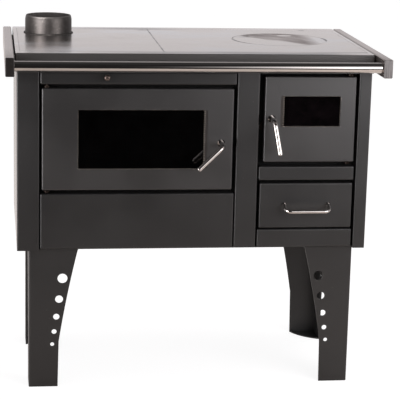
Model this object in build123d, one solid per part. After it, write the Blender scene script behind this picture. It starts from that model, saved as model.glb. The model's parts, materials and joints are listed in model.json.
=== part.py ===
from build123d import *
from math import cos, radians, sin, sqrt
import os

# Wood cookstove: a sheet-steel body on four bent legs, an oven on the left, a firebox
# over an ash drawer on the right, loose cooktop plates in a welded frame, and a rail.
# Millimetres. The origin is on the floor under the middle of the whole outline.
# The front faces -Y and +Z is up.

# ---------------------------------------------------------------- overall
overall_width = 900.0        # over the outer faces of the side bars
overall_depth = 586.0        # length of a side bar with its end caps
hob_height = 822.0           # floor to the top face of the cooktop
bar_front_reach = 89.0       # the side bars stand this far in front of the body
seat_gap = 0.3               # between pieces that are seated but not joined
over = 1.0                   # cutters and welded ends run this far past a face

# ---------------------------------------------------------------- casing
sheet = 2.0                  # casing sheet
fold_radius = 3.5            # outside radius of a folded edge and of a panel's corners
casing_height = 431.0        # side panels, from their lower edge to the cooktop frame
casing_flange = 18.0         # inward flanges of the side panels
left_post_width = 52.8
right_post_width = 30.0
centre_post_width = 53.4
right_bay_width = 241.0      # between the centre post and the right post
left_bay_gap = 2.0           # left post to the panels of the left bay
centre_gap_left = 2.5        # panels of the left bay to the centre post
centre_gap_right = 3.2       # centre post to the panels of the right bay
right_bay_gap = 4.5          # panels of the right bay to the right post
front_plate_sheet = 3.0
bottom_front_setback = 6.0   # bottom sheet behind the front face

# ---------------------------------------------------------------- front panels and doors
lower_left_height = 135.0
header_height = 29.3
lower_right_height = 44.6
sill_height = 34.0
drawer_height = 111.0
drawer_gap_below = 3.4
drawer_gap_above = 7.0
drawer_gap_left = 6.7
drawer_gap_right = 6.6
oven_door_gap_hinge = 5.6
oven_door_gap_lock = 8.1
oven_door_gap_above = 8.7
oven_door_gap_below = 8.5
fire_door_gap_hinge = 7.0
fire_door_gap_lock = 13.0
fire_door_gap_above = 8.4
fire_door_gap_below = 11.0
door_depth = 22.0            # front face to the back of the folded edges
door_liner_sheet = 2.0

# ---------------------------------------------------------------- windows
oven_window_from_left = 84.6
oven_window_from_right = 62.1
oven_window_from_below = 51.0
oven_window_from_above = 50.7
fire_window_from_left = 38.5
fire_window_from_right = 37.0
fire_window_from_below = 86.0
fire_window_from_above = 47.0
window_corner = 4.0
glass_thickness = 4.0
glass_lap = 11.0             # glass behind the sheet, past the window on each side
gasket_thickness = 2.0
gasket_width = 10.5
gasket_peek = 7.0            # the gasket shows inside the window on its lock side
clip_width = 18.0
clip_sheet = 1.5
clip_foot = 12.0             # on the door skin
clip_finger = 8.0            # over the glass
clip_spacing = 110.0
liner_window_margin = 5.0    # liner opening past the edge of the glass

# ---------------------------------------------------------------- seals, hinges and latches
rope_width = 9.5
rope_height = 6.0
rope_round = 2.5
rope_corner = 14.0
rope_inset = 8.7             # rope to the upper and lower edges of the door
rope_past_hinge = 1.0        # rope starts this far inside the hinge line
mouth_margin = 3.0           # front plate opening inside the rope
mouth_corner = 7.0
rope_hub_gap = 1.5           # rope to the hub of the latch tongue
hinge_setback = 10.0         # hinge line behind the front face
oven_hinge_inset = 12.6      # hinge line from the door's edge
fire_hinge_inset = 13.0
hinge_pin_radius = 4.0
hinge_pin_grip = 12.0        # pin inside the door
running_gap = 0.08           # turning fits, on the radius
lug_thickness = 3.0
lug_gap = 1.5                # lug to the door
lug_half_width = 8.0
pin_past_lug = 2.6
rod_radius = 6.0             # door handles
handle_standoff = 45.0       # door face to the grip's axis
grip_length = 82.0
handle_bend = 11.0
handle_tip_round = 3.0
handle_collar_radius = 9.0
handle_collar_thickness = 2.0
oven_shaft_inset = 28.5      # shaft from the lock edge of the door
oven_shaft_rise = 114.5      # shaft above the door's lower edge
oven_grip_angle = 45.8        # grip from straight down, towards the hinge
fire_shaft_inset = 17.3
fire_shaft_rise = 106.0
fire_grip_angle = 11.3
tongue_drop = 50.0           # tongue below level when it is released, in degrees
tongue_reach = 8.0           # tongue behind the post when it is level
tongue_half_width = 6.0
tongue_thickness = 4.5
tongue_hub_radius = 9.0
tongue_pin_radius = 4.0
sleeve_radius = 9.5
keeper_sheet = 3.0
keeper_gap = 2.3             # tongue to the keeper in front of it
keeper_width = 11.4
keeper_half_height = 18.0
notch_half_height = 9.0      # notch at the front edge of the post
notch_room = 1.5             # tongue in its way through the post's lip

# ---------------------------------------------------------------- cooktop
fascia_height = 45.0         # cooktop frame, and so the top of the body
frame_overhang_front = 6.0
frame_overhang_side = 2.5
frame_wall = 4.0
rim_front = 28.0
rim_back = 34.0
rim_side = 10.0
plate_thickness = 8.0
plate_gap = 0.5              # plates to the rim and to each other
ledge_thickness = 6.0
ledge_lap = 10.0             # ledge under the plates
frame_edge_round = 1.2
flue_plate_width = 339.5
crossbar_width = 40.0
disc_radius = 118.5
disc_from_right = 173.5      # disc centre from the right edge of the plates
disc_from_back = 196.0       # disc centre from the back edge of the plates
disc_step = 4.0              # depth of the step that the disc hangs on
disc_lap = 8.5
disc_gap = 1.0
disc_edge = 0.8              # chamfer round the top of the disc
lift_slot_length = 17.0
lift_slot_width = 9.0
lift_slot_depth = 5.5
lift_slot_from_rim = 17.0
lift_slot_direction = 138.0  # degrees round the disc from +X

# ---------------------------------------------------------------- flue
collar_radius = 59.0
collar_wall = 2.5
collar_height = 45.0
collar_straight = 31.0       # straight stretch that a pipe slides over
collar_roll = 2.2            # the rim is drawn in by this much
collar_lip = 0.7             # chamfers of the rim
collar_bead = 2.6            # weld round the foot of the collar
collar_from_left = 79.5      # collar centre from the left edge of the plates
collar_from_back = 85.0

# ---------------------------------------------------------------- side bars and rail
bar_width = 21.0
bar_spacer = 3.5             # between the cooktop frame and a side bar
bar_height = 44.0
bar_wall = 2.0
bar_corner = 3.0
cap_thickness = 3.0
cap_spigot = 12.0
cap_spigot_wall = 1.5
cap_round = 2.0
fixing_radius = 4.0
fixing_head_radius = 6.5
fixing_head_height = 4.0
fixing_spacer_radius = 8.0
fixing_past_bar = 6.0        # screw inside the bar, past its wall
fixing_from_front = 143.0     # first screw from the front end of the bar
fixing_from_back = 63.0
fixing_count = 3
hole_gap = 0.3               # screws in their holes, on the radius
rail_radius = 12.3
rail_wall = 1.5
rail_setback = 21.0          # rail axis behind the front of the side bars
rail_plug_length = 15.0
rail_stud_radius = 3.0
rail_stud_length = 12.0

# ---------------------------------------------------------------- legs
leg_sheet = 3.0
leg_width_foot = 70.4
leg_width_ankle = 72.6
leg_width_top = 118.5
leg_ankle_height = 115.0
leg_flare_sag = 2.6          # how far the flared edge curves in
leg_corner_round = 4.0
leg_side_inset = 28.0        # legs from the side of the body
leg_front_inset = 12.0
leg_back_inset = 82.0
leg_plate = 4.0
leg_plate_edge = 12.0        # edge of the top plate past a bolt
foot_plate = 3.0
foot_arc_inset = 16.0
leg_hole_count = 5
leg_hole_from_top = 74.5      # middle of the largest hole below the leg's top
leg_hole_first_pitch = 52.0
leg_hole_pitch_ratio = 0.85
leg_hole_first_radius = 12.0
leg_hole_radius_ratio = 0.8
leg_hole_web = 9.5           # metal between a hole and the flared edge
leg_bolt_radius = 4.0
leg_bolt_head_radius = 7.5
leg_bolt_head_height = 5.3
leg_bolt_past = 6.0
leg_bolt_inset = 30.0
leg_bolt_spacing = 50.0

# ---------------------------------------------------------------- oven
oven_sheet = 2.5
oven_back_room = 66.2        # smoke way behind the oven
oven_side_room = 10.0        # cavity past the mouth on the hinge side
oven_floor_room = 17.0       # cavity below the mouth
oven_top_room = 8.0
oven_corner = 8.0
lower_runner_level = 62.0    # ledges above the oven floor
upper_runner_level = 137.0
runner_width = 12.0
runner_height = 14.0
runner_end_gap = 12.0
rack_rod_radius = 3.0
rack_bar_radius = 2.0
rack_bar_count = 11
rack_bar_rise = 1.8          # bars above the axis of the frame rod
rack_bar_inset = 20.0        # first and last bar from the frame rod
rack_corner = 16.0
rack_gap = 2.0

# ---------------------------------------------------------------- smoke way and damper
baffle_sheet = 2.0
flue_box_front_room = 29.0   # flue box wall in front of the collar
flue_box_side_room = 11.0    # flue box past the damper's window
damper_window_width = 140.0
damper_window_height = 46.0
damper_window_sill = 14.0
damper_lap = 10.0
damper_sheet = 3.0
damper_rod_radius = 4.0
damper_from_left = 210.4     # rod from the left side of the body
damper_below_frame = 11.2    # rod below the cooktop frame
knob_radius = 7.4
knob_length = 14.0
knob_round = 5.0
knob_grip_length = 7.7
knob_taper = 2.4
knob_neck_radius = 5.0
knob_bore_depth = 7.0
knob_gap = 4.0
damper_bush_radius = 6.5
damper_rod_room = 1.0        # rod in the hole of the header panel
damper_bush_flange = 2.0
damper_bush_flange_radius = 8.5
damper_bush_reach = 6.0

# ---------------------------------------------------------------- firebox and ash drawer
fire_sheet = 3.0
fire_side_gap = 7.0          # air gap to the right side panel
fire_back_gap = 56.0
fire_floor_below_mouth = 34.0
brick_thickness = 28.0
brick_gap = 1.0
brick_front_gap = 10.0
side_brick_count = 3
back_brick_count = 2
grate_width = 190.0
grate_end_room = 43.85        # firebox floor past each end of the grate
grate_thickness = 12.0
grate_lap = 10.0
grate_slot_width = 9.0
grate_slot_web = 22.0        # between the two rows of slots
grate_slot_pitch = 19.0
grate_slot_count = 8
grate_corner = 10.0
runner_sheet = 2.0
drawer_runner_height = 50.0
drawer_runner_lip = 18.0
drawer_runner_ledge = 17.0
drawer_runner_end_gap = 1.0
pan_sheet = 1.5
pan_height = 80.0
pan_length = 360.0
pan_side_inset = 11.5        # pan from the sides of the drawer front
pan_runner_gap = 2.5
pan_mouth_gap = 4.5
pan_mouth_gap_below = 3.5
pull_rod_radius = 4.5
pull_width = 108.0
pull_standoff = 36.0
pull_drop = 11.2
pull_bend = 14.0
pull_rise = 59.5             # pull feet above the drawer's lower edge
pull_foot_flange = 0.6
pull_foot_length = 4.0

# ---------------------------------------------------------------- derived places
bar_inner = overall_width / 2 - bar_width
frame_side = bar_inner - bar_spacer
body_side = frame_side - frame_overhang_side
body_front = -overall_depth / 2 + bar_front_reach
body_back = overall_depth / 2
body_top = hob_height - fascia_height
casing_bottom = body_top - casing_height
panels_bottom = casing_bottom + 2 * sheet
front_inner_top = body_top - seat_gap
rope_back = body_front + door_depth + rope_height
plate_front = rope_back + seat_gap          # front face of the inner front plate
plate_back = plate_front + front_plate_sheet
lip_depth = plate_front - body_front

left_post_edge = -body_side + left_post_width
right_post_edge = body_side - right_post_width
centre_post_right = right_post_edge - right_bay_width
centre_post_left = centre_post_right - centre_post_width
left_bay = (left_post_edge + left_bay_gap, centre_post_left - centre_gap_left)
right_bay = (centre_post_right + centre_gap_right, right_post_edge - right_bay_gap)

lower_left_top = panels_bottom + lower_left_height
header_bottom = front_inner_top - header_height
lower_right_top = panels_bottom + lower_right_height
drawer_z = (lower_right_top + drawer_gap_below, lower_right_top + drawer_gap_below + drawer_height)
sill_bottom = drawer_z[1] + drawer_gap_above
sill_top = sill_bottom + sill_height
drawer_x = (centre_post_right + drawer_gap_left, right_post_edge - drawer_gap_right)

frame_front = body_front - frame_overhang_front
plates_x = (-frame_side + rim_side, frame_side - rim_side)
plates_y = (frame_front + rim_front, body_back - rim_back)
plate_bottom = hob_height - plate_thickness
ledge_bottom = plate_bottom - ledge_thickness
plates_seam = plates_x[0] + flue_plate_width
disc_centre = (plates_x[1] - disc_from_right, plates_y[1] - disc_from_back)
collar_centre = (plates_x[0] + collar_from_left, plates_y[1] - collar_from_back)

bar_middle_z = hob_height - bar_height / 2
rail_y = -overall_depth / 2 + rail_setback
fixing_pitch = (overall_depth - fixing_from_front - fixing_from_back) / (fixing_count - 1)
fixing_start = fixing_from_front - overall_depth / 2
fixing_positions = [fixing_start + index * fixing_pitch for index in range(fixing_count)]

leg_outer = body_side - leg_side_inset
leg_front = body_front + leg_front_inset
leg_back = body_back - leg_back_inset
leg_top = casing_bottom + sheet


def block(x, y, z):
    """Rectangular solid between two values on each axis."""
    size = (x[1] - x[0], y[1] - y[0], z[1] - z[0])
    middle = ((x[0] + x[1]) / 2, (y[0] + y[1]) / 2, (z[0] + z[1]) / 2)
    return Pos(*middle) * Box(*size)


def rod_along(axis, radius, start, end, across):
    """Round bar along X, Y or Z; across gives its place on the other two axes in order."""
    middle = (start + end) / 2
    places = {
        "x": (Pos(middle, *across), Rot(0, 90, 0)),
        "y": (Pos(across[0], middle, across[1]), Rot(90, 0, 0)),
        "z": (Pos(*across, middle), Rot(0, 0, 0)),
    }
    place, turn = places[axis]
    return place * turn * Cylinder(radius, end - start)


def upright_outline(outline, front, back):
    """Solid with an outline drawn in X and Z, between two values of Y."""
    plane = Plane(origin=(0, back, 0), x_dir=(1, 0, 0), z_dir=(0, -1, 0))
    return extrude(plane * outline, amount=back - front)


def rounded_opening(x, z, front, back, corner):
    """Cutter for an opening with rounded corners that runs through in Y."""
    outline = Pos((x[0] + x[1]) / 2, (z[0] + z[1]) / 2) * RectangleRounded(
        x[1] - x[0], z[1] - z[0], corner
    )
    return upright_outline(outline, front, back)


def folded_tray(x, z, depth, wall=sheet):
    """Front panel with its four edges folded back, open behind."""
    blank = block(x, (body_front, body_front + depth), z)
    corners = blank.edges().filter_by(Axis.Y) + blank.faces().sort_by(Axis.Y)[0].edges()
    blank = fillet(corners, fold_radius)
    pocket_x = (x[0] + wall, x[1] - wall)
    pocket_z = (z[0] + wall, z[1] - wall)
    return blank - block(pocket_x, (body_front + wall, body_front + depth + over), pocket_z)


def bent_sheet(points, z, wall=sheet):
    """Sheet folded along a line of points seen from above, as tall as z."""
    path = FilletPolyline(*points, radius=fold_radius - wall / 2)
    section = trace(path, line_width=wall)
    return Pos(0, 0, z[0]) * extrude(section, amount=z[1] - z[0])


# ---------------------------------------------------------------- casing

def side_panel(side, post_edge):
    """Side of the casing with its front post, lip and rear flange folded from one sheet."""
    half = sheet / 2
    wall_x = side * (body_side - half)
    lip_x = post_edge + side * half
    back_y = body_back - sheet - half
    points = [
        (lip_x, plate_front),
        (lip_x, body_front + half),
        (wall_x, body_front + half),
        (wall_x, back_y),
        (wall_x - side * (casing_flange - half), back_y),
    ]
    panel = bent_sheet(points, (casing_bottom, body_top))
    flange_x = sorted((side * (body_side - sheet), side * (body_side - casing_flange)))
    flange_y = (body_front + fold_radius, body_back - sheet)
    panel += block(flange_x, flange_y, (casing_bottom, casing_bottom + sheet))
    leg_x = sorted((side * (leg_outer + seat_gap), side * (leg_outer - leg_width_top)))
    leg_y = (leg_front - seat_gap, plate_front + over)
    return panel - block(leg_x, leg_y, (casing_bottom - over, leg_top + seat_gap))


def back_panel():
    """Flat rear cover over the flanges of the side panels."""
    return block((-body_side, body_side), (body_back - sheet, body_back), (casing_bottom, body_top))


def bottom_panel():
    """Floor of the body, on the lower flanges, with the holes for the leg bolts."""
    x = (-body_side + sheet + seat_gap, body_side - sheet - seat_gap)
    y = (body_front + bottom_front_setback, body_back - 2 * sheet - seat_gap)
    panel = block(x, y, (casing_bottom + sheet, panels_bottom))
    for side, post_edge in ((-1, left_post_edge), (1, right_post_edge)):
        post_x = sorted((post_edge - side * seat_gap, side * body_side))
        panel -= block(post_x, (y[0] - over, plate_front + seat_gap), (casing_bottom, panels_bottom + over))
    return panel - leg_bolt_shanks(leg_bolt_radius + hole_gap)


def centre_post():
    """Channel between the two bays, notched in each lip where a latch tongue swings in."""
    half = sheet / 2
    points = [
        (centre_post_left + half, plate_front),
        (centre_post_left + half, body_front + half),
        (centre_post_right - half, body_front + half),
        (centre_post_right - half, plate_front),
    ]
    post = bent_sheet(points, (panels_bottom, front_inner_top))
    for door, lip_x in ((oven_door, centre_post_left), (fire_door, centre_post_right)):
        notch_x = sorted((lip_x + door.lock_side * fold_radius, lip_x - door.lock_side * over))
        notch_top = door.shaft_z + notch_half_height
        swing_y = (door.tongue_y[0] - notch_room, plate_front + over)
        post -= block(notch_x, swing_y, (door.shaft_z - door.tongue_entry - notch_room, notch_top))
        front_y = (body_front + half, plate_front + over)
        post -= block(notch_x, front_y, (door.shaft_z - notch_half_height, notch_top))
    return post


def latch_keepers():
    """Strike plates inside the centre post, in front of the level tongues."""
    keepers = []
    for door, lip_x in ((oven_door, centre_post_left), (fire_door, centre_post_right)):
        inner = lip_x + door.lock_side * sheet
        x = sorted((inner, inner + door.lock_side * keeper_width))
        y = (door.tongue_y[0] - keeper_gap - keeper_sheet, door.tongue_y[0] - keeper_gap)
        z = (door.shaft_z - keeper_half_height, door.shaft_z + keeper_half_height)
        keepers.append(block(x, y, z))
    return keepers


def inner_front_plate():
    """Wall behind the front panels, with the mouths of the oven, firebox and ash pan."""
    x = (-body_side + sheet + seat_gap, body_side - sheet - seat_gap)
    plate = block(x, (plate_front, plate_back), (panels_bottom, front_inner_top))
    through = (plate_front - over, plate_back + over)
    for door in (oven_door, fire_door):
        plate -= rounded_opening(door.mouth_x, door.mouth_z, *through, mouth_corner)
    pan_x, pan_z = ash_pan_place()
    mouth_x = (pan_x[0] - pan_mouth_gap, pan_x[1] + pan_mouth_gap)
    mouth_z = (pan_z[0] - pan_mouth_gap_below, pan_z[1] + pan_mouth_gap)
    plate -= block(mouth_x, through, mouth_z)
    return plate - rod_along("y", damper_bush_radius + hole_gap, *through, damper_place())


# ---------------------------------------------------------------- doors

class Door:
    """Places of one inset door; hinge_side is -1 for a hinge on the left and 1 on the right."""

    def __init__(self, x, z, hinge_side, hinge_inset, window_x, window_z,
                 shaft_inset, shaft_rise, grip_angle):
        self.x = x
        self.z = z
        self.hinge_side = hinge_side
        self.lock_side = -hinge_side
        self.window_x = window_x
        self.window_z = window_z
        hinge_edge = x[0] if hinge_side < 0 else x[1]
        lock_edge = x[1] if hinge_side < 0 else x[0]
        self.hinge_x = hinge_edge - hinge_side * hinge_inset
        self.hinge_y = body_front + hinge_setback
        self.shaft_x = lock_edge + hinge_side * shaft_inset
        self.shaft_z = z[0] + shaft_rise
        self.grip_angle = grip_angle
        rope_hinge = self.hinge_x - hinge_side * rope_past_hinge
        rope_lock = self.shaft_x + hinge_side * (tongue_hub_radius + rope_hub_gap)
        self.rope_x = tuple(sorted((rope_hinge, rope_lock)))
        self.rope_z = (z[0] + rope_inset, z[1] - rope_inset)
        inside = rope_width + mouth_margin
        self.mouth_x = (self.rope_x[0] + inside, self.rope_x[1] - inside)
        self.mouth_z = (self.rope_z[0] + inside, self.rope_z[1] - inside)
        post_lip = centre_post_left if self.lock_side > 0 else centre_post_right
        lip_distance = abs(post_lip - self.shaft_x)
        self.tongue_length = lip_distance + tongue_reach
        self.tongue_entry = sqrt(self.tongue_length ** 2 - lip_distance ** 2)
        tongue_front = body_front + door_depth + seat_gap
        self.tongue_y = (tongue_front, tongue_front + tongue_thickness)


oven_door_x = (left_post_edge + oven_door_gap_hinge, centre_post_left - oven_door_gap_lock)
oven_door_z = (lower_left_top + oven_door_gap_below, header_bottom - oven_door_gap_above)
fire_door_x = (centre_post_right + fire_door_gap_lock, right_post_edge - fire_door_gap_hinge)
fire_door_z = (sill_top + fire_door_gap_below, body_top - fire_door_gap_above)

oven_door = Door(
    x=oven_door_x,
    z=oven_door_z,
    hinge_side=-1,
    hinge_inset=oven_hinge_inset,
    window_x=(oven_door_x[0] + oven_window_from_left, oven_door_x[1] - oven_window_from_right),
    window_z=(oven_door_z[0] + oven_window_from_below, oven_door_z[1] - oven_window_from_above),
    shaft_inset=oven_shaft_inset,
    shaft_rise=oven_shaft_rise,
    grip_angle=-oven_grip_angle,
)
fire_door = Door(
    x=fire_door_x,
    z=fire_door_z,
    hinge_side=1,
    hinge_inset=fire_hinge_inset,
    window_x=(fire_door_x[0] + fire_window_from_left, fire_door_x[1] - fire_window_from_right),
    window_z=(fire_door_z[0] + fire_window_from_below, fire_door_z[1] - fire_window_from_above),
    shaft_inset=fire_shaft_inset,
    shaft_rise=fire_shaft_rise,
    grip_angle=fire_grip_angle,
)


def door_panel(door):
    """Folded door skin with its window, shaft hole and the two pin holes."""
    panel = folded_tray(door.x, door.z, door_depth)
    through = (body_front - over, body_front + sheet + over)
    panel -= rounded_opening(door.window_x, door.window_z, *through, window_corner)
    shaft = (door.shaft_x, door.shaft_z)
    panel -= rod_along("y", rod_radius + hole_gap, *through, shaft)
    hinge = (door.hinge_x, door.hinge_y)
    return panel - rod_along("z", hinge_pin_radius + running_gap, door.z[0] - over, door.z[1] + over, hinge)


def glass_place(door):
    """Outline of a window pane, lapped behind the door skin on every side."""
    x = (door.window_x[0] - glass_lap, door.window_x[1] + glass_lap)
    z = (door.window_z[0] - glass_lap, door.window_z[1] + glass_lap)
    return x, z


def door_glass(door):
    """Flat ceramic pane behind the gasket."""
    x, z = glass_place(door)
    front = body_front + sheet + gasket_thickness
    return rounded_opening(x, z, front, front + glass_thickness, window_corner)


def glass_gasket(door):
    """Flat woven tape round the pane; its run on the lock side shows inside the window."""
    x, z = glass_place(door)
    front = body_front + sheet
    back = front + gasket_thickness
    inner_x = [door.window_x[0] - glass_lap + gasket_width, door.window_x[1] + glass_lap - gasket_width]
    lock = 1 if door.lock_side > 0 else 0
    inner_x[lock] = door.window_x[lock] - door.lock_side * gasket_peek
    inner_z = (z[0] + gasket_width, z[1] - gasket_width)
    tape = rounded_opening(x, z, front, back, window_corner)
    return tape - rounded_opening(inner_x, inner_z, front - over, back + over, window_corner)


def glass_clips(door):
    """Stepped clips that hold the pane: one foot on the skin, one finger on the glass."""
    x, z = glass_place(door)
    front = body_front + sheet
    step = gasket_thickness + glass_thickness
    outer = step + clip_sheet
    profile = Polyline(
        (0, 0), (-clip_foot, 0), (-clip_foot, clip_sheet), (-clip_sheet, clip_sheet),
        (-clip_sheet, outer), (clip_finger, outer), (clip_finger, step), (0, step),
        close=True,
    )
    clips = []
    middle = (x[0] + x[1]) / 2
    for clip_x in (middle - clip_spacing / 2, middle + clip_spacing / 2):
        for level, up in ((z[0] - seat_gap, 1), (z[1] + seat_gap, -1)):
            origin = (clip_x - clip_width / 2, front, level)
            plane = Plane(origin=origin, x_dir=(0, 0, up), z_dir=(-up, 0, 0))
            clips.append(extrude(plane * make_face(profile), amount=-up * clip_width))
    return clips


def door_liner(door):
    """Inner sheet of a door with the welded sleeve that guides the handle's shaft."""
    x = (door.x[0] + sheet + seat_gap, door.x[1] - sheet - seat_gap)
    z = (door.z[0] + sheet + seat_gap, door.z[1] - sheet - seat_gap)
    back = body_front + door_depth
    liner = block(x, (back - door_liner_sheet, back), z)
    glass_x, glass_z = glass_place(door)
    window_x = (glass_x[0] - liner_window_margin, glass_x[1] + liner_window_margin)
    window_z = (glass_z[0] - liner_window_margin, glass_z[1] + liner_window_margin)
    low = door.rope_x[0] + rope_width
    high = door.rope_x[1] - rope_width
    window_x = (max(window_x[0], low), min(window_x[1], high))
    liner -= rounded_opening(window_x, window_z, back - door_liner_sheet - over, back + over, window_corner)
    shaft = (door.shaft_x, door.shaft_z)
    liner += rod_along("y", sleeve_radius, body_front + sheet + seat_gap, back, shaft)
    return liner - rod_along("y", rod_radius + running_gap, body_front, back + over, shaft)


def door_rope(door):
    """Sealing rope on the back of the liner, flattened where it meets the front plate."""
    back = body_front + door_depth
    rope = rounded_opening(door.rope_x, door.rope_z, back, rope_back, rope_corner)
    inner_x = (door.rope_x[0] + rope_width, door.rope_x[1] - rope_width)
    inner_z = (door.rope_z[0] + rope_width, door.rope_z[1] - rope_width)
    rope -= rounded_opening(inner_x, inner_z, back - over, rope_back + over, rope_corner - rope_width)
    return fillet(rope.faces().sort_by(Axis.Y)[-1].edges(), rope_round)


def hinge_levels(door):
    """Lower and upper lug as (start, end) heights, just outside the door."""
    below = (door.z[0] - lug_gap - lug_thickness, door.z[0] - lug_gap)
    above = (door.z[1] + lug_gap, door.z[1] + lug_gap + lug_thickness)
    return below, above


def door_pins(door):
    """Turned pins welded in the upper and lower edges of the door."""
    below, above = hinge_levels(door)
    hinge = (door.hinge_x, door.hinge_y)
    lower = rod_along("z", hinge_pin_radius, below[0] - pin_past_lug, door.z[0] + hinge_pin_grip, hinge)
    upper = rod_along("z", hinge_pin_radius, door.z[1] - hinge_pin_grip, above[1] + pin_past_lug, hinge)
    return [lower, upper]


def hinge_lugs():
    """Round-nosed lugs on the inner front plate that the door pins turn in."""
    lugs = []
    for door in (oven_door, fire_door):
        for level in hinge_levels(door):
            x = (door.hinge_x - lug_half_width, door.hinge_x + lug_half_width)
            lug = block(x, (door.hinge_y, plate_front), level)
            hinge = (door.hinge_x, door.hinge_y)
            lug += rod_along("z", lug_half_width, *level, hinge)
            bore = rod_along("z", hinge_pin_radius + running_gap, level[0] - over, level[1] + over, hinge)
            lugs.append(lug - bore)
    return lugs


def door_handle(door):
    """Bent round bar: the shaft through the door, and the grip that hangs from it."""
    reach = body_front - handle_standoff
    lean = radians(door.grip_angle)
    direction = Vector(sin(lean), 0, -cos(lean))
    bend = Vector(door.shaft_x, reach, door.shaft_z)
    inner = Vector(door.shaft_x, door.tongue_y[0], door.shaft_z)
    path = FilletPolyline(inner, bend, bend + direction * grip_length, radius=handle_bend)
    section = Plane(origin=inner, z_dir=(0, -1, 0)) * Circle(rod_radius)
    handle = sweep(section, path=path)
    tip = handle.faces().sort_by(Axis((0, 0, 0), tuple(direction)))[-1]
    handle = fillet(tip.edges(), handle_tip_round)
    shaft = (door.shaft_x, door.shaft_z)
    collar_back = body_front - seat_gap
    handle += rod_along("y", handle_collar_radius, collar_back - handle_collar_thickness, collar_back, shaft)
    return handle + rod_along("y", tongue_pin_radius, door.tongue_y[0] - over, door.tongue_y[1], shaft)


def latch_tongue(door):
    """Flat tongue on the end of the shaft; the shown place is released, below level."""
    hub = Circle(tongue_hub_radius)
    tip = Pos(door.tongue_length - tongue_half_width, 0) * Circle(tongue_half_width)
    arm = Pos((door.tongue_length - tongue_half_width) / 2, 0) * Rectangle(
        door.tongue_length - tongue_half_width, 2 * tongue_half_width
    )
    outline = hub + tip + arm - Circle(tongue_pin_radius + running_gap)
    turn = -tongue_drop if door.lock_side > 0 else 180 + tongue_drop
    placed = Pos(door.shaft_x, door.shaft_z) * Rot(0, 0, turn) * outline
    return upright_outline(placed, *door.tongue_y)


# ---------------------------------------------------------------- cooktop

def cooktop_frame():
    """Welded frame: a deep fascia, a flush rim and a ledge that the loose plates lie on."""
    outer_x = (-frame_side, frame_side)
    frame = block(outer_x, (frame_front, body_back), (body_top, hob_height))
    frame = fillet(frame.edges().filter_by(Axis.Z), fold_radius)
    frame = fillet(frame.faces().sort_by(Axis.Z)[-1].edges(), frame_edge_round)
    inner_x = (-frame_side + frame_wall, frame_side - frame_wall)
    inner_y = (frame_front + frame_wall, body_back - frame_wall)
    frame -= block(inner_x, inner_y, (body_top - over, ledge_bottom))
    frame -= block(plates_x, plates_y, (plate_bottom, hob_height + over))
    well_x = (plates_x[0] + ledge_lap, plates_x[1] - ledge_lap)
    well_y = (plates_y[0] + ledge_lap, plates_y[1] - ledge_lap)
    frame -= block(well_x, well_y, (ledge_bottom - over, plate_bottom + over))
    bar_x = (plates_seam - crossbar_width / 2, plates_seam + crossbar_width / 2)
    frame += block(bar_x, (well_y[0] - over, well_y[1] + over), (ledge_bottom, plate_bottom))
    for side in (-1, 1):
        for y in fixing_positions:
            start, end = sorted((side * (frame_side - frame_wall - over), side * (frame_side + over)))
            frame -= rod_along("x", fixing_radius + hole_gap, start, end, (y, bar_middle_z))
    return frame


def flue_plate():
    """Left plate, with the hole under the flue collar."""
    x = (plates_x[0] + plate_gap, plates_seam - plate_gap / 2)
    y = (plates_y[0] + plate_gap, plates_y[1] - plate_gap)
    plate = block(x, y, (plate_bottom, hob_height))
    through = (plate_bottom - over, hob_height + over)
    return plate - rod_along("z", collar_radius - collar_wall, *through, collar_centre)


def hob_plate():
    """Right plate, with a stepped round hole for the disc."""
    x = (plates_seam + plate_gap / 2, plates_x[1] - plate_gap)
    y = (plates_y[0] + plate_gap, plates_y[1] - plate_gap)
    plate = block(x, y, (plate_bottom, hob_height))
    step_z = hob_height - disc_step
    plate -= rod_along("z", disc_radius + disc_gap, step_z, hob_height + over, disc_centre)
    return plate - rod_along("z", disc_radius - disc_lap, plate_bottom - over, hob_height, disc_centre)


def hob_disc():
    """Lift-off disc: a flange that hangs on the step, a boss below and a slot for the lifter."""
    step_z = hob_height - disc_step
    flange = rod_along("z", disc_radius, step_z, hob_height, disc_centre)
    flange = chamfer(flange.faces().sort_by(Axis.Z)[-1].edges(), disc_edge)
    boss_radius = disc_radius - disc_lap - 2 * disc_gap
    disc = flange + rod_along("z", boss_radius, plate_bottom, step_z, disc_centre)
    reach = disc_radius - lift_slot_from_rim
    slot = SlotOverall(lift_slot_length, lift_slot_width)
    place = Pos(*disc_centre, hob_height - lift_slot_depth) * Rot(0, 0, lift_slot_direction)
    return disc - extrude(place * Pos(reach, 0) * slot, amount=lift_slot_depth + over)


def flue_collar():
    """Short pipe welded on the flue plate: a weld at its foot and a rim drawn in at the top."""
    straight_top = hob_height + collar_straight
    outer = collar_radius
    inner = collar_radius - collar_wall
    rim_outer = outer - collar_roll
    rim_inner = inner - collar_roll
    rim_top = hob_height + collar_height
    rim_z = rim_top - collar_lip
    with BuildSketch(Plane.XZ) as section:
        with BuildLine():
            Polyline(
                (inner, hob_height), (outer + collar_bead, hob_height),
                (outer, hob_height + collar_bead), (outer, straight_top),
            )
            TangentArc((outer, straight_top), (rim_outer, rim_z), tangent=(0, 1))
            Polyline(
                (rim_outer, rim_z), (rim_outer - collar_lip, rim_top), (rim_inner + collar_lip, rim_top),
                (rim_inner, rim_z), (inner, straight_top), (inner, hob_height),
            )
        make_face()
    return Pos(*collar_centre, 0) * revolve(section.sketch, axis=Axis.Z)


# ---------------------------------------------------------------- side bars and rail

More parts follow.
